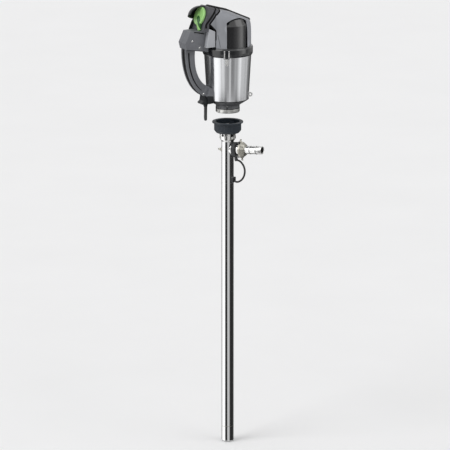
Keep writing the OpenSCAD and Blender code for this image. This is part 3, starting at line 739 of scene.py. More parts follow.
def knob_place():
    out = Vector((-math.cos(KNOB_TILT), 0, math.sin(KNOB_TILT)))
    up_face = Vector((math.sin(KNOB_TILT), 0, math.cos(KNOB_TILT)))
    across = Vector((0, 1, 0))
    place = Matrix((up_face, across, out)).transposed().to_4x4()
    return Matrix.Translation(KNOB_CENTRE * MM) @ place


def lever():
    """Pointer that rises from the knob's middle and runs out past its edge."""
    # distance from the middle, width left and right of it, crest's sideways place, crest and foot height
    sections = [
        (-20, 1.5, 1.5, 0, 9.6, 6), (-8, 5, 4, 0, 12.5, 6), (2, 8, 6, 0.5, 15.5, 5),
        (14, 10, 12, 2, 17.5, 4), (26, 10.5, 13.5, 4.2, 16.8, 3.5), (34, 9.5, 11, 5, 15, 3),
        (42, 8.2, 8.5, 5.2, 12.8, 2.8), (48, 7, 7.2, 4.6, 10.5, 2.8), (51, 5, 5.5, 3, 7.5, 3.2),
    ]
    bm = bmesh.new()
    rings = []
    for s, left, right, crest, top, foot in sections:
        middle = foot + 0.5 * (top - foot)
        ring = []
        for y, z in ((right, foot), (right, middle), (crest + 0.3 * (right - crest), top - 1.5), (crest, top),
                     (-0.5 * left, top - 2.0), (-left, middle), (-left, foot)):
            ring.append(bm.verts.new(Vector((s, y, z)) * MM))
        rings.append(ring)
    bridge(bm, rings, capped=True)
    bmesh.ops.subdivide_edges(bm, edges=bm.edges[:], cuts=2, smooth=0.6, use_grid_fill=True)
    turn = around_z(LEVER_ANGLE)
    bmesh.ops.transform(bm, matrix=knob_place() @ turn, verts=bm.verts)
    return bm


def knob():
    face = 10.0
    outline = [(0, 0.8), (KNOB_R - 1.2, 0.8), (KNOB_R, 3), (KNOB_R - 0.6, face), (0, face + 0.8)]
    profile = rounded(outline, 2.2, 5, False)

    disc = turned(profile, knob_place(), 144)
    spindle = turned([(0, -20), (4.95, -20), (4.95, 1.2), (0, 1.2)], knob_place(), 32)
    bm = joined(disc, lever(), spindle)
    made = dress("switch_knob_detail", "switch", "knob_green", bm, 42, "switch_knob")
    made.data.materials.append(LOOKS["knob_green_painted_shade"])
    # Faces on the lever's right flank, and on its tip past the disc, take the darker green: painted shade
    # where the flank is turned from the light.
    to_lever = (knob_place() @ around_z(LEVER_ANGLE)).inverted()
    for face in made.data.polygons:
        at = to_lever @ face.center / MM
        if at.y > 0.5 + 0.13 * at.x and at.x > 4 and (at.z > 10.9 or at.x > KNOB_R + 1):
            face.material_index = 1


knob()

HOOD_N = 5.0
SKIN = 2.6


def hood_point(x, angle):
    """A point of the hood's skin: angle runs from the near foot over the crest to the far foot."""
    half = side_of_hood(x)
    height = roof_height(x, 0) - COLLAR_TOP
    across = -math.copysign(abs(math.cos(angle)) ** (2 / HOOD_N), math.cos(angle))
    up = abs(math.sin(angle)) ** (2 / HOOD_N)
    return Vector((x, half * across, COLLAR_TOP - 1 + (height + 1) * up))


def seam_x(z):
    """The joint between hood and rear cap in the X-Z plane."""
    if z > SEAM_LOW[1]:
        return SEAM_LOW[0] + (z - SEAM_LOW[1]) * (SEAM_HIGH[0] - SEAM_LOW[0]) / (SEAM_HIGH[1] - SEAM_LOW[1])
    if z > 437:
        return -67 - 24 * (z - 437) / 25
    return -67


def cap_edge_x(z):
    """The same joint, run straight down below its lower corner."""
    return seam_x(max(z, SEAM_LOW[1]))


def knob_plane_x(z):
    return KNOB_CENTRE.x + (z - KNOB_CENTRE.z) * math.tan(KNOB_TILT)


def x_on(line, angle, low=-125, high=HOOD_R - 0.01):
    """Where the skin crosses a line of the X-Z plane, going round at one angle."""
    for _ in range(40):
        middle = (low + high) / 2
        if middle < line(hood_point(middle, angle).z):
            low = middle
        else:
            high = middle
    return (low + high) / 2


def skin_grid(near_line, far_line, first, last, rows, columns):
    """Rows of skin points between two lines of the X-Z plane; far_line None runs to the hood's front."""
    grid = []
    for k in range(rows + 1):
        share = k / rows
        angle = first + (last - first) * share
        start = x_on(near_line, angle)
        end = x_on(far_line, angle) if far_line else HOOD_R - 0.02
        row = []
        for j in range(columns + 1):
            part = math.sin(math.pi / 2 * j / columns) if far_line is None else j / columns
            row.append(hood_point(start + (end - start) * part, angle))
        grid.append(row)
    return grid


def modified(name, bm, *changes):
    """Mesh data after modifiers, each given as a kind and its settings."""
    bmesh.ops.remove_doubles(bm, verts=bm.verts, dist=2e-5)
    bmesh.ops.dissolve_degenerate(bm, dist=1e-6, edges=bm.edges)
    bmesh.ops.recalc_face_normals(bm, faces=bm.faces)
    data = mesh_data(name, bm)
    obj = link(bpy.data.objects.new(name, data))
    data = baked(obj, changes)
    bpy.data.objects.remove(obj)
    return data


def cutter(name, bm):
    bmesh.ops.recalc_face_normals(bm, faces=bm.faces)
    return link(bpy.data.objects.new(name, mesh_data(name, bm)))


def window_outline(grow=0.0):
    half = 39 + grow
    reach = 64 + grow
    out = [(-half, COLLAR_TOP - 20)]
    for k in range(-12, 13):
        x = half * k / 12
        out.append((x, 415 + math.sqrt(reach ** 2 - x * x)))
    out.append((half, COLLAR_TOP - 20))
    return out


def hood_shell():
    rows, columns = 96, 60
    grid = skin_grid(lambda z: seam_x(z) + 0.7, None, 0.0, math.pi, rows, columns)
    bm = bmesh.new()
    verts = [[bm.verts.new(p * MM) for p in row] for row in grid]
    bridge(bm, verts, closed=False)
    cuts = [cutter("window_cut", slab(window_outline(), side * 100, side * 50)) for side in (-1, 1)]
    changes = [("SOLIDIFY", {"thickness": SKIN * MM, "offset": -1})]
    changes += [cut_by(cut) for cut in cuts] + [bevelled(0.7, 2, 50)]
    data = modified("head_shell_detail", bm, *changes)
    for cut in cuts:
        bpy.data.objects.remove(cut)
    smooth(data, 35)
    piece("head_shell_detail", "motor", "hood_grey", "head_shell", data)


def cap():
    rows, columns = 72, 20
    first = math.asin(0.42 ** (HOOD_N / 2))
    grid = skin_grid(knob_plane_x, lambda z: cap_edge_x(z) - 0.7, first, math.pi - first, rows, columns)
    bm = bmesh.new()
    verts = [[bm.verts.new(p * MM) for p in row] for row in grid]
    bridge(bm, verts, closed=False)
    bm.faces.new([row[0] for row in verts])
    hole = cutter("spindle_cut", turned([(0, -20), (6, -20), (6, 20), (0, 20)], knob_place(), 32))
    thicker = ("SOLIDIFY", {"thickness": SKIN * MM, "offset": -1})
    data = modified("rear_cap_detail", bm, bevelled(2.5, 4, 40), thicker, cut_by(hole))
    bpy.data.objects.remove(hole)
    smooth(data, 35)
    piece("rear_cap_detail", "motor", "cap_grey", "rear_cap", data)


def skin_line(name, line, radius, sink, first=0.02, last=math.pi - 0.02, look="groove_and_shade_black"):
    """Dark line that follows the skin where a line of the X-Z plane meets it: a joint line, or painted shade
    along a crease.
    """
    path = []
    steps = 110
    for k in range(steps + 1):
        angle = first + (last - first) * k / steps
        point = hood_point(x_on(line, angle), angle)
        inwards = (Vector((-20, 0, 430)) - point).normalized()
        path.append(point + inwards * sink)
    return piece(name, "motor", look, data=mesh_from(name, swept(path, radius, 10), 60))


hood_shell()
cap()
skin_line("seam_line", seam_x, 3.2, 1.9)
low_angle = math.asin(0.5 ** (HOOD_N / 2))
skin_line("seam_beside", lambda z: cap_edge_x(z) - 13.5, 3.4, 2.1, low_angle, math.pi - low_angle)
# Darker grey beads along the creases beside the cheeks: painted shade of the creases.
for side, first, last in (("near", 0.0004, 0.078), ("far", math.pi - 0.078, math.pi - 0.0004)):
    skin_line("crease_shade_" + side, lambda z: -56 - 7 * (z - 383) / 48, 1.0, 0.45, first, last, "cap_grey")


def visor():
    """Dome over the knob, cut back along the middle so that the knob's face stays open on the right."""
    bm = cad_copy("switch_visor")
    to_knob = knob_place().inverted()
    for vert in bm.verts:
        at = to_knob @ vert.co
        share = min(1, max(0, (at.x / MM + 22) / 14))
        at.x *= 1 - 0.07 * share
        at.z *= 1 - 0.07 * share
        vert.co = knob_place() @ at
    block = cutter("visor_cut", slab(box_outline(200, 400, 600), -200, -4))
    data = modified("switch_visor_detail", bm, cut_by(block), bevelled(0.9, 3, 35))
    bpy.data.objects.remove(block)
    smooth(data, 40)
    piece("switch_visor_detail", "motor", "black_plastic", "switch_visor", data)

# ---- motor casing ----

CAN_FOOT, CAN_TOP = 197, 352
CAN_FOOT_R, CAN_TOP_R = 70, 79
COLLAR_FOOT, COLLAR_R = 348, 84
CLIP_AZIMUTHS = (-120, 0, 120)


def can_r(z):
    return CAN_FOOT_R + (CAN_TOP_R - CAN_FOOT_R) * (z - CAN_FOOT) / (CAN_TOP - CAN_FOOT)


def facing(azimuth):
    """Local X runs round the axis, Y outwards and Z up at an azimuth about +Z."""
    return around_z(azimuth - 90)


def collar_ring():
    profile = [(COLLAR_R - 4.7, COLLAR_FOOT), (COLLAR_R - 2.5, COLLAR_FOOT),
               (COLLAR_R - 0.5, COLLAR_FOOT + 4), (COLLAR_R, COLLAR_FOOT + 12),
               (COLLAR_R, COLLAR_TOP - 5), (COLLAR_R - 3, COLLAR_TOP), (73, COLLAR_TOP),
               (73, CAN_TOP + 2), (COLLAR_R - 4.7, CAN_TOP + 2)]
    shape = rounded(profile, [0, 0.8, 4, 9, 3, 2, 0, 0, 0], 6)
    dress("collar_detail", "motor", "collar_gloss", turned(shape, steps=192), 50, "collar")


def clips():
    """Latches: a dark plate with two bright edges on the collar, and a steel tongue down the can."""
    plates, rails = [], []
    for azimuth in CLIP_AZIMUTHS:
        place = facing(azimuth)
        shape = rounded(box_outline(10.5, COLLAR_FOOT - 3, COLLAR_TOP - 4), 3)
        plates.append(slab(shape, COLLAR_R - 1.2, COLLAR_R + 0.9, 0, 0.8, place=place))
        for x in (-7.6, 7.6):
            strip = rounded([(x - 1.9, COLLAR_FOOT - 1.5), (x + 1.9, COLLAR_FOOT - 1.5),
                             (x + 1.9, COLLAR_TOP - 5), (x - 1.9, COLLAR_TOP - 5)], 1.2)
            rails.append(slab(strip, COLLAR_R + 0.5, COLLAR_R + 2, 0, 0.9, place=place))
        lean = math.atan((CAN_TOP_R - CAN_FOOT_R) / (CAN_TOP - CAN_FOOT))
        on_can = place @ moved(0, can_r(COLLAR_FOOT), COLLAR_FOOT) @ Matrix.Rotation(-lean, 4, "X")
        tongue = rounded(box_outline(5.4, -26.5, 1), [4.5, 4.5, 0.5, 0.5], 6)
        rails.append(slab(tongue, 0.15, 1.5, 0, 0.7, place=on_can))
        rib = rounded(box_outline(1.6, -22, 0.5), [1.4, 1.4, 0.2, 0.2], 5)
        rails.append(slab(rib, 1.3, 2.2, 0, 0.6, place=on_can))
    dress("clip_rails", "motor", "satin_bright", joined(*rails), 40)
    dress("collar_clips_detail", "motor", "collar_gloss",
          joined(*plates), 40, "collar_clips")


def flange_and_spigot():
    """The bright spigot ring under the can, a dark band at its shoulder and a dark line round the can's foot.
    """
    outline = [(33, 151), (38.3, 151), (40.3, 152.8), (40.3, 164.5), (33, 164.5)]
    bm = turned(rounded(outline, [0.6, 0.8, 0.8, 0, 0], 4))
    dress("spigot_ring_detail", "motor", "spigot_steel", bm, 50, "spigot_ring")
    band = rounded([(39.4, 163.7), (40.42, 164.1), (40.42, 165.9), (39.4, 166.3)], 0.4, 3)
    dress("spigot_shoulder", "motor", "groove_and_shade_black", turned(band, steps=128), 60)
    lip = rounded([(CAN_FOOT_R - 1.2, CAN_FOOT - 2.2), (CAN_FOOT_R + 0.35, CAN_FOOT - 1.8),
                   (CAN_FOOT_R + 0.45, CAN_FOOT + 0.4), (CAN_FOOT_R - 1.2, CAN_FOOT + 0.6)], 0.5, 3)
    dress("can_foot_line", "motor", "groove_and_shade_black", turned(lip, steps=160), 60)


def screw_head(place, r, height):
    """Round, domed head; its foot stands at the place's origin, +Z outwards."""
    outline = [(0, 0), (r, 0), (r, 0.55 * height), (0.55 * r, height), (0, height)]
    return turned(rounded(outline, [0, 0, 0.5, 0.8, 0], 4), place, 32)


def shank(place, r, depth):
    """Screw's shank, sunk below its head."""
    return turned([(0, -depth), (r, -depth), (r, 0.2), (0, 0.2)], place, 20)


def painted_recess_shade(place, r, height):
    """Near-black cross on a screw's head: painted shade for its cross recess, which is not cut."""
    parts = []
    for turn in (0, 90):
        shape = rounded(box_outline(0.6 * r, -0.14 * r, 0.14 * r), 0.1 * r, 3)
        # The outline lies in the head's own plane.
        flat = place @ around_z(turn) @ moved(0, 0, height - 0.12) @ about_x(-90)
        parts.append(slab(shape, -0.14, 0.02, 0, 0, 1, place=flat))
    return parts


def flange_screws():
    heads, marks = [], []
    for azimuth in CLIP_AZIMUTHS:
        out = around_z(azimuth) @ moved(37.6, 0, 177) @ Matrix.Rotation(math.radians(90), 4, "Y")
        heads.append(screw_head(out, 3.9, 2.6))
        heads.append(shank(out, 1.9, 4.8))
        marks.extend(painted_recess_shade(out, 3.9, 2.6))
    dress("flange_screws_detail", "motor", "bright_steel",
          joined(*heads), 40, "flange_screws")
    # The crosses are painted shade for the screws' recesses.
    dress("flange_screw_marks", "motor", "groove_and_shade_black", joined(*marks), 30)


collar_ring()
clips()
flange_and_spigot()
flange_screws()


def window_frames():
    """Glossy insert in each side window, with a rounded brow and dark edges."""
    for side, name in ((-1, "side_panel_right"), (1, "side_panel_left")):
        bm = bmesh.new()
        profile = rounded([(73, 377.2), (72.6, 452), (61, 473.5), (56, 474.5)], [0, 7, 3, 0], 6, closed=False)
        columns = []
        half = 40.2
        count = 48
        for k in range(count + 1):
            share = -1 + 2 * k / count
            column = []
            for r, z in profile:
                angle = share * math.asin(min(1, half / r))
                arch = 413.5 + math.sqrt(max(0, 64.5 ** 2 - (r * math.sin(angle)) ** 2))
                height = min(z, arch)
                column.append(Vector((r * math.sin(angle), side * r * math.cos(angle), height)))
            columns.append(column)
        front = [[bm.verts.new(p * MM) for p in column] for column in columns]
        inside = [[Vector((p.x * 0.95, p.y * 0.95, p.z - 0.5)) for p in column] for column in columns]
        back = [[bm.verts.new(p * MM) for p in column] for column in inside]
        rows = len(profile)
        for a, b, c, d in zip(front, front[1:], back, back[1:]):
            for i in range(rows - 1):
                bm.faces.new((a[i], b[i], b[i + 1], a[i + 1]))
                bm.faces.new((c[i + 1], d[i + 1], d[i], c[i]))
            bm.faces.new((a[0], c[0], d[0], b[0]))
            bm.faces.new((a[-1], b[-1], d[-1], c[-1]))
        for f, g in ((front[0], back[0]), (front[-1], back[-1])):
            for i in range(rows - 1):
                bm.faces.new((f[i], f[i + 1], g[i + 1], g[i]))
        piece(name + "_detail", "motor", "window_gloss", name,
              mesh_from(name + "_detail", bm, 50))


window_frames()

visor()

# ---- handle ----

GRIP_OUTER = [(-166, 382), (-168, 300), (-142, 238), (-96, 214)]
GRIP_INNER = [(-131, 372), (-137, 300), (-112, 254), (-74.5, 245)]
GRIP_HALF = 16
SIDE_SCREWS = [(-145, 406, 25), (-118, 382, 25), (-99, 222, 16)]
GLAND_X = -84


def handle():
    for name in ("handle_half_right", "handle_half_left"):
        soften(name, 2.2)
    soften("grip_band", 1.2, "edging_black")
    inlays = []
    outer = bezier(GRIP_OUTER, 40)
    inner = bezier(GRIP_INNER, 40)
    for side in (-1, 1):
        path = []
        for a, b in list(zip(outer, inner))[2:35]:
            point = Vector(a).lerp(Vector(b), 0.36)
            path.append(Vector((point.x, side * (GRIP_HALF - 0.7), point.y)))
        inlays.append(swept(path, lambda share: 3.5 - 2.2 * share ** 3, 12, 0.6))
    dress("grip_inlays", "motor", "groove_and_shade_black", joined(*inlays), 60)
    # Near-black lines on each side: painted shadow along the saddle's edge beside the can and under the
    # block's brow, and a thin joint line low on the block.
    shadow_and_joint_lines = []
    for side in (-1, 1):
        path = [Vector((x, side * 24.4, z)) for x, z in
                [(-62.5, 246), (-61.5, 230), (-61.5, 208), (-62.5, 188)]]
        shadow_and_joint_lines.append(swept(flow(path, 6), 2.4, 8))
        joint = [Vector((x, side * 25.05, z)) for x, z in [(-165.5, 379), (-131, 373.6), (-99, 368.2)]]
        shadow_and_joint_lines.append(swept(flow(joint, 6), 0.7, 8))
        brow = [Vector((x, side * 24.7, z)) for x, z in [(-139, 436.3), (-122, 433.5), (-101, 428)]]
        shadow_and_joint_lines.append(swept(flow(brow, 6), 1.7, 8))
    dress("handle_shadow_lines", "motor", "groove_and_shade_black", joined(*shadow_and_joint_lines), 60)
    seam = [Vector((x + 0.1, 0, z)) for x, z in bezier(GRIP_INNER, 40)]
    dress("grip_seam", "motor", "groove_and_shade_black", swept(seam, 0.5, 8), 60)


def side_screws():
    heads, marks = [], []
    for x, z, half in SIDE_SCREWS:
        for side in (-1, 1):
            out = moved(x, side * (half - 2.0), z) @ about_x(-90 * side)
            heads.append(screw_head(out, 4.3, 2.3))
            heads.append(shank(out, 1.8, 4.5))
            marks.extend(painted_recess_shade(out, 3.8, 2.3))
    dress("handle_screws_detail", "motor", "bright_steel",
          joined(*heads), 40, "handle_screws")
    # The crosses are painted shade for the screws' recesses.
    dress("handle_screw_marks", "motor", "groove_and_shade_black", joined(*marks), 30)


def gland():
    """Moulded cable gland: a collar with rings, tapering to the cable."""
    low, high = 176, 216
    profile = [(5.05, low + 10), (5.05, low), (6.2, low), (6.6, low + 1)]
    for k in range(4):
        z = low + 2.2 + 3.1 * k
        r = 6.9 + 0.62 * k
        profile += [(r, z), (r, z + 1.7), (r - 0.8, z + 2.1), (r - 0.8, z + 2.8)]
    profile += [(9, low + 15), (9, high), (0, high), (0, low + 10)]
    dress("strain_relief_detail", "motor", "black_plastic",
          turned(profile, moved(GLAND_X, 0, 0), 64), 40, "strain_relief")


handle()
side_screws()
gland()


def cheeks():
    """Side cheeks, cut off level above the collar."""
    for name in ("cheek_right", "cheek_left"):
        bm = cad_copy(name)
        cut_level(bm, 384, (0, 0, -1), True)
        bmesh.ops.holes_fill(bm, edges=bm.edges)
        bmesh.ops.dissolve_limit(bm, angle_limit=math.radians(0.8), verts=bm.verts, edges=bm.edges)
        data = modified(name + "_detail", bm, bevelled(2.6, 4, 32))
        smooth(data, 40)
        piece(name + "_detail", "motor", "cheek_grey", name, data)


def guard_foot():
    """Foot that ties the knob guard to the far side of the handle's block."""
    plate = slab(rounded(box_outline(12, 427, 441), 2), 35, 36.5, 0.4, 0.4, place=moved(-115.5, 0, 0))
    foot = slab(rounded(box_outline(11, 427, 430.5), 1), 24.6, 36, 0, 0.4, place=moved(-115.5, 0, 0))
    dress("guard_foot", "motor", "black_plastic", joined(plate, foot), 40)
    out = moved(-110, 35.3, 445) @ about_x(90)
    dress("guard_screw", "motor", "bright_steel", screw_head(out, 3.2, 1.0), 40)


def boot_and_shadow():
    """Black flared foot of the handle, where the cable leaves it; the black reaches over the saddle's foot
    next to the can, where it is painted shadow.
    """
    for name in ("handle_half_right", "handle_half_left"):
        data = bpy.data.objects[name + "_finished"].data
        bm = bmesh.new()
        bm.from_mesh(data)
        cut_level(bm, 203, (0.15, 0, 1))
        for face in bm.faces:
            at = face.calc_center_median() / MM
            # Faces low on the foot go black: the real black foot, and painted shadow over the saddle's foot.
            if at.z < 203 - 0.15 * at.x and at.z < 214 and at.x < -66:
                face.material_index = 1
        bm.to_mesh(data)
        bm.free()
        data.materials.append(LOOKS["black_plastic"])
        smooth(data, 40)


cheeks()
guard_foot()
boot_and_shadow()
soften("earth_terminal", 0.6, "bright_steel")
soften("hank_strap", 0.8)

# ---- pump head ----

TUBE_R = 20.5
BRANCH_TURN = Matrix.Rotation(BRANCH_AZIMUTH, 4, "Z") @ Matrix.Rotation(math.pi / 2 - BRANCH_TILT, 4, "Y")
ON_BRANCH = moved(0, 0, BRANCH_HEIGHT) @ BRANCH_TURN


def nut():
    """Knurled hand nut: a thin wide rim, a ribbed wall and a tapered foot."""
    outer = rounded([(27, 79.5), (38.5, 79.5), (45.5, 88), (45.5, 111.8), (52, 113.6), (52, 117.5),
                     (40.6, 117.5)], [0, 2, 3, 1, 1.2, 1.0, 1], 5, False)
    inner = [(40.6, 83.7), (27, 83.7)]

    def knurled(r, z, angle):
        inside = 89 < z < 111.5 and r > 44
        return r - (0.9 * (0.5 + 0.5 * math.cos(54 * angle)) if inside else 0)

    wall = []
    for a, b in zip(outer, outer[1:]):
        wall.append(a)
        if abs(a[0] - 45.5) < 0.05 and b[1] - a[1] > 10:
            wall += [(45.5, a[1] + 0.6), (45.5, b[1] - 0.6)]
    wall.append(outer[-1])
    dress("hand_nut_detail", "nut", "nut_plastic",
          turned(wall + inner, steps=432, radius=knurled), 45, "hand_nut")


def drain_window_shade():
    """Near-black ovals just under the nut, painted shade standing for the drain windows' openings, with
    bright arches between them.
    """
    parts, arches = [], []
    for k in range(5):
        azimuth = -158 + 72 * k
        place = facing(azimuth)
        turns = [math.radians(a) for a in range(0, 360, 15)]
        oval = [(4.6 * math.cos(a), 72.2 + 4.4 * math.sin(a)) for a in turns]
        parts.append(slab(oval, 25.2, 26.25, 0, 0.2, place=place))
        arch = facing(azimuth + 36)
        path = [Vector((7.2 * math.sin(t), 26.15, 58.5 + 15 * math.cos(t))) for t in
                [math.radians(a) for a in range(-90, 91, 10)]]
        path = [(arch @ (p * MM)) / MM for p in path]
        arches.append(swept(path, 0.85, 8))
    dress("drain_window_shade", "pump_tube", "groove_and_shade_black", joined(*parts), 30)
    dress("head_arches", "pump_tube", "bright_steel", joined(*arches), 60)


def tube_head():
    profile = [(10, 49), (TUBE_R, 49), (21.3, 51), (25.2, 56), (26, 60), (26, 84), (38, 84), (38, 90),
               (15, 90), (15, 63), (10, 60)]
    shape = rounded(profile, [0, 1.5, 4, 4, 3, 1, 1, 1, 0.8, 0, 0], 5)
    dress("tube_head_detail", "pump_tube", "bright_steel",
          turned(shape, steps=144), 45, "tube_head")


def earthing():
    """Ribbed black ring on the branch, with the strap that runs over the top to the wing nut."""
    profile = rounded([(19.4, 24.2), (24.6, 24.2), (25.8, 26), (25.8, 36.5), (24.6, 38), (19.4, 38)], 0.8, 3)

    def ribbed(r, s, angle):
        return r - (0.9 if r > 24 and math.cos(30 * angle) > 0.1 else 0)

    bm = [turned(profile, ON_BRANCH, 240, ribbed)]
    strap = rounded([(-6, 26), (6, 26), (6, 48.5), (-6, 48.5)], 1.5, 3)
    # Seen along the branch: local X of the slab runs across, local Z outwards along the branch.
    place = ON_BRANCH @ Matrix(((0, -1, 0, 0), (1, 0, 0, 0), (0, 0, 1, 0), (0, 0, 0, 1)))
    bm.append(slab(strap, 18.6, 23.4, 0.5, 1.2, place=place))
    hook = rounded([(-5, 43.5), (5, 43.5), (5, 48.5), (-5, 48.5)], 1.2, 3)
    bm.append(slab(hook, 22, 27.5, 0, 1.4, place=place))
    lug = rounded([(-6, 25.5), (6, 25.5), (6, 33.5), (-6, 33.5)], 2.2, 4)
    bm.append(slab(lug, -22, -36.5, 0, 1.6, place=place))
    dress("earthing_ring_detail", "pump_tube", "ring_grey",
          joined(*bm), 40, "earthing_ring")
    eye = turned(rounded([(2.2, -1.2), (5.4, -1.2), (5.4, 1.2), (2.2, 1.2)], 0.9, 3),
                 ON_BRANCH @ moved(22.5, -3.5, 41.5) @ about_x(78), 32)
    dress("cable_lug", "pump_tube", "bright_steel", eye, 40)


def wing():
    """Cast wing nut: a scalloped hub with two hooked horns."""
    outline = [(18.3, 50), (25.5, 50), (26.8, 52), (26.8, 57), (20, 67), (17.5, 70), (13.6, 70),
               (13.6, 63.3), (18.3, 63.3)]
    hub = rounded(outline, [0, 1.5, 1.5, 3, 3, 1.5, 0.6, 0, 0], 4)

    def scalloped(r, s, angle):
        return r - (1.6 * max(0, math.cos(6 * angle)) if r > 19 else 0)

    parts = [turned(hub, ON_BRANCH, 192, scalloped)]
    for way in (1, -1):
        horn = ((58, 20), (55.5, 25), (53, 29), (51.8, 32), (53, 34.2), (56, 34.6))
        path = [Vector((way * -u, 0, s)) for s, u in horn]
        path = [(ON_BRANCH @ (p * MM)) / MM for p in flow(path, 5)]
        parts.append(swept(path, lambda share: 3.9 - 2.2 * share, 16))
    dress("wing_nut_detail", "wing", "wing_metal", joined(*parts), 45, "wing_nut")


BARBS = (88, 111)
TAIL_R = 13.2


def tail():
    """Barbed hose tail: a bright tube with two sharp-backed barbs and a rounded open end."""
    flange = [(10.5, 58), (17.5, 58), (17.5, 63), (TAIL_R, 63)]
    barbs = []
    for s in BARBS:
        barbs += [(TAIL_R, s - 7), (TAIL_R + 0.5, s - 3), (14.4, s), (14.1, s + 0.5), (TAIL_R, s + 0.7)]
    profile = flange + barbs + [(TAIL_R, 131.8), (12.6, 133), (11.2, 133), (10.5, 132.2)]
    dress("hose_tail_detail", "pump_tube", "satin_bright",
          turned(profile, ON_BRANCH, 128), 50, "hose_tail")
    lines = []
    for s in BARBS:
        line = [(12.9, s + 0.55), (13.55, s + 0.7), (13.55, s + 1.9), (12.9, s + 2.05)]
        lines.append(turned(rounded(line, 0.2, 2), ON_BRANCH, 96))
    lines.append(turned([(0, 130.6), (10.9, 130.6), (10.9, 131.1), (0, 131.1)], ON_BRANCH, 96))
    dress("tail_shadows", "pump_tube", "groove_and_shade_black", joined(*lines), 60)


def branch():
    profile = [(11, 0), (13.5, 0), (15, 6), (17, 14), (18.8, 20), (19, 24), (19, 34),
               (18, 34), (18, 56), (11, 56)]
    bm = turned(profile, ON_BRANCH, 128)
    core = cutter("tube_cut", turned([(0, -60), (TUBE_R - 0.2, -60), (TUBE_R - 0.2, 90), (0, 90)], steps=128))
    data = modified("discharge_branch_detail", bm, cut_by(core))
    bpy.data.objects.remove(core)
    smooth(data, 50)
    piece("discharge_branch_detail", "pump_tube", "bright_steel", "discharge_branch", data)


def stud():
    """Pointed earthing stud on the tube's far side from the branch."""
    away = Matrix.Rotation(BRANCH_AZIMUTH + math.pi, 4, "Z") @ Matrix.Rotation(math.pi / 2, 4, "Y")
    place = moved(0, 0, 18) @ away
    profile = [(0, 18.5), (8, 18.5), (7.6, 22), (6.2, 24.5), (4.2, 25.5), (3.9, 31), (2.6, 35),
               (0.7, 37.5), (0, 37.5)]
    dress("earth_stud_detail", "pump_tube", "wing_metal",
          turned(rounded(profile, 0.8, 3, False), place, 64), 50, "earth_stud")


def clamp():
    """Small moulded clamp on the tube that holds the bonding cable's end."""
    soften("cable_clamp", 1.6)
    place = facing(math.degrees(BRANCH_AZIMUTH) - 14) @ moved(0, TUBE_R + 3.6, -78) @ about_x(-90)
    dress("clamp_screw", "pump_tube", "machined_steel", screw_head(place, 2.6, 1.8), 40)


def foot_joint():
    """Fine joint line round the tube where its foot piece starts."""
    line = rounded([(19.8, -947), (20.62, -946.6), (20.62, -945.4), (19.8, -945)], 0.3, 3)
    dress("foot_joint", "pump_tube", "wing_metal", turned(line, steps=96), 60)


foot_joint()
nut()
tube_head()
drain_window_shade()
earthing()
wing()
tail()
branch()
stud()
clamp()

# ---- studio ----

SURROUND_RADIUS = 1.0
SURROUND_LOW = -1.9
SURROUND_SPLIT = -0.11
HEAD_SPLIT = 0.15
SURROUND_TOP = 3.0
SOFT_BOX_LOW = 0.5

# Brightness round the object: degrees about +Z from the camera's direction, positive to its right.
TUBE_SURROUND = [
    (-180, 0.08), (-130, 0.12), (-120, 1.15), (-62, 1.2), (-52, 0.9), (-43, 0.03), (-10, 0.02), (-3, 0.5),
    (4, 0.62), (32, 0.5), (44, 0.03), (112, 0.02), (124, 0.1), (180, 0.1),
]
CAN_SURROUND = [
    (-180, 0.05), (-126, 0.04), (-104, 0.1), (-92, 0.4), (-80, 0.75), (-66, 1.2), (-50, 1.2), (-36, 1.0),
    (-31, 0.6), (-26, 0.85), (-17, 0.75), (-13, 0.42), (-2, 0.33), (7, 0.33), (10, 0.75), (13, 0.75),
    (16, 0.33), (21, 0.22), (32, 0.28), (37, 0.45), (43, 0.4), (49, 0.4), (56, 0.75), (67, 0.95),
    (73, 0.6), (80, 0.6), (91, 0.6), (96, 0.5), (103, 0.5), (109, 0.65), (117, 0.3), (130, 0.18),
    (150, 0.08), (180, 0.05),
]
HEAD_SURROUND = [
    (-180, 0.3), (-84, 0.25), (-74, 1.2), (-38, 1.2), (-28, 0.2), (0, 0.1), (26, 0.14), (48, 0.45),
    (62, 1.1), (74, 1.7), (83, 1.3), (93, 0.2), (106, 0.45), (136, 0.45), (144, 0.1), (180, 0.3),
]
SOFT_BOXES = [
    (-180, 0.8), (-90, 0.7), (-78, 2.6), (-36, 2.6), (-26, 0.85), (46, 0.8), (56, 2.0), (86, 2.0), (96, 0.7),
]


def floor():
    """A pale floor, wide enough for its edge to lie outside every view."""
    look = Look("floor_white", Roughness=0.95)
    look.set("Base Color", look.ramp(look.noise(2.5, 3), 0.3, 0.7, (0.92, 0.92, 0.925), (0.935, 0.935, 0.94)))
    half = 40
    low = CAD_BOX[0][2] - 0.002
    bm = bmesh.new()
    corners = ((-half, -half), (half, -half), (half, half), (-half, half))
    bm.faces.new([bm.verts.new((x, y, low)) for x, y in corners])
    data = mesh_data("floor", bm)
    data.materials.append(look.material)
    sheet = link(bpy.data.objects.new("floor", data))
    sheet.visible_glossy = False


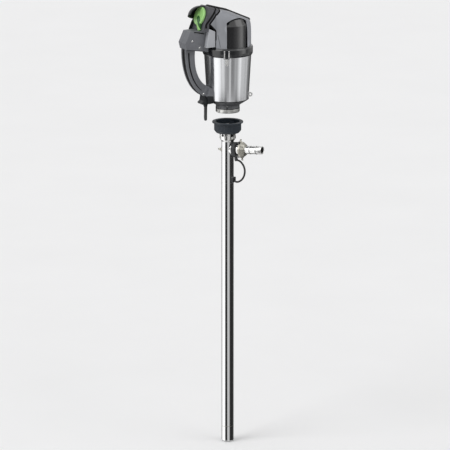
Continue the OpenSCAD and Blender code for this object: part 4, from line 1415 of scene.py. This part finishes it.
def surround_part(name, stops, low, high):
    """A ring that only reflections see, bright and dark round the object as stops says."""
    look = Look(name, Roughness=1.0, Base_Color=(0, 0, 0, 1), Specular_IOR_Level=0.0)
    look.material.cycles.emission_sampling = "NONE"
    coords = look.node("TexCoord")
    split = look.node("SeparateXYZ")
    look.link(coords.outputs["Object"], split.inputs["Vector"])
    angle = look.node("Math", operation="ARCTAN2")
    look.link(split.outputs["Y"], angle.inputs[0])
    look.link(split.outputs["X"], angle.inputs[1])
    share = look.between(angle.outputs["Value"], 0, 1, -math.pi, math.pi)
    brightest = max(value for _, value in stops)
    colors = []
    # One colour ramp holds 32 stops; a longer list is split into a left and a right half.
    halves = (stops,)
    if len(stops) > 30:
        halves = ([s for s in stops if s[0] <= 0], [s for s in stops if s[0] >= 0])
    for half in halves:
        made = look.node("ValToRGB")
        ramp = made.color_ramp
        while len(ramp.elements) > 1:
            ramp.elements.remove(ramp.elements[-1])
        for number, (degrees, value) in enumerate(half):
            position = (degrees + 180) / 360
            stop = ramp.elements[0] if number == 0 else ramp.elements.new(position)
            stop.position = position
            level = value / brightest
            stop.color = (level, level, level, 1)
        look.link(share, made.inputs["Fac"])
        colors.append(made.outputs["Color"])
    color = colors[0]
    if len(colors) == 2:
        side = look.node("Math", operation="GREATER_THAN")
        side.inputs[1].default_value = 0.5
        look.link(share, side.inputs[0])
        color = look.mix(side.outputs["Value"], *colors)
    look.set("Emission Color", color)
    look.shader.inputs["Emission Strength"].default_value = brightest
    bm = bmesh.new()
    turns = [math.radians(a) for a in range(0, 360, 2)]
    feet = [Vector((math.cos(a), math.sin(a), 0)) * SURROUND_RADIUS for a in turns]
    bridge(bm, [[bm.verts.new(foot + UP * z) for foot in feet] for z in (low, high)])
    data = mesh_data(name, bm)
    data.materials.append(look.material)
    ring = link(bpy.data.objects.new(name, data))
    # The ring's own +X is the camera's direction, so that stops are degrees from it.
    ring.rotation_euler = (0, 0, math.atan2(TOWARDS_CAMERA.y, TOWARDS_CAMERA.x))
    ring.visible_camera = False
    ring.visible_diffuse = False
    ring.visible_shadow = False
    ring.visible_transmission = False


def sun(name, azimuth, elevation, strength, spread):
    """Soft even light from azimuth degrees to the camera's right, which reflections don't see."""
    data = bpy.data.lights.new(name, "SUN")
    data.energy = strength
    data.angle = math.radians(spread)
    light = link(bpy.data.objects.new(name, data))
    a, e = math.radians(azimuth), math.radians(elevation)
    level = TOWARDS_CAMERA * math.cos(a) + RIGHT_OF_CAMERA * math.sin(a)
    light.rotation_euler = (level * math.cos(e) + UP * math.sin(e)).to_track_quat("Z", "Y").to_euler()
    light.visible_glossy = False


def world():
    made = bpy.data.worlds.new("studio")
    made.use_nodes = True
    background = made.node_tree.nodes["Background"]
    background.inputs["Color"].default_value = (1, 1, 1, 1)
    background.inputs["Strength"].default_value = 0.62
    bpy.context.scene.world = made
    bpy.context.scene.view_settings.view_transform = "Standard"


floor()
surround_part("tube_surround", TUBE_SURROUND, SURROUND_LOW, SURROUND_SPLIT)
surround_part("can_surround", CAN_SURROUND, SURROUND_SPLIT, HEAD_SPLIT)
surround_part("head_surround", HEAD_SURROUND, HEAD_SPLIT, SOFT_BOX_LOW)
surround_part("soft_boxes", SOFT_BOXES, SOFT_BOX_LOW, SURROUND_TOP)
sun("key", -58, 45, 1.0, 35)
sun("fill", 62, 35, 0.5, 50)
world()
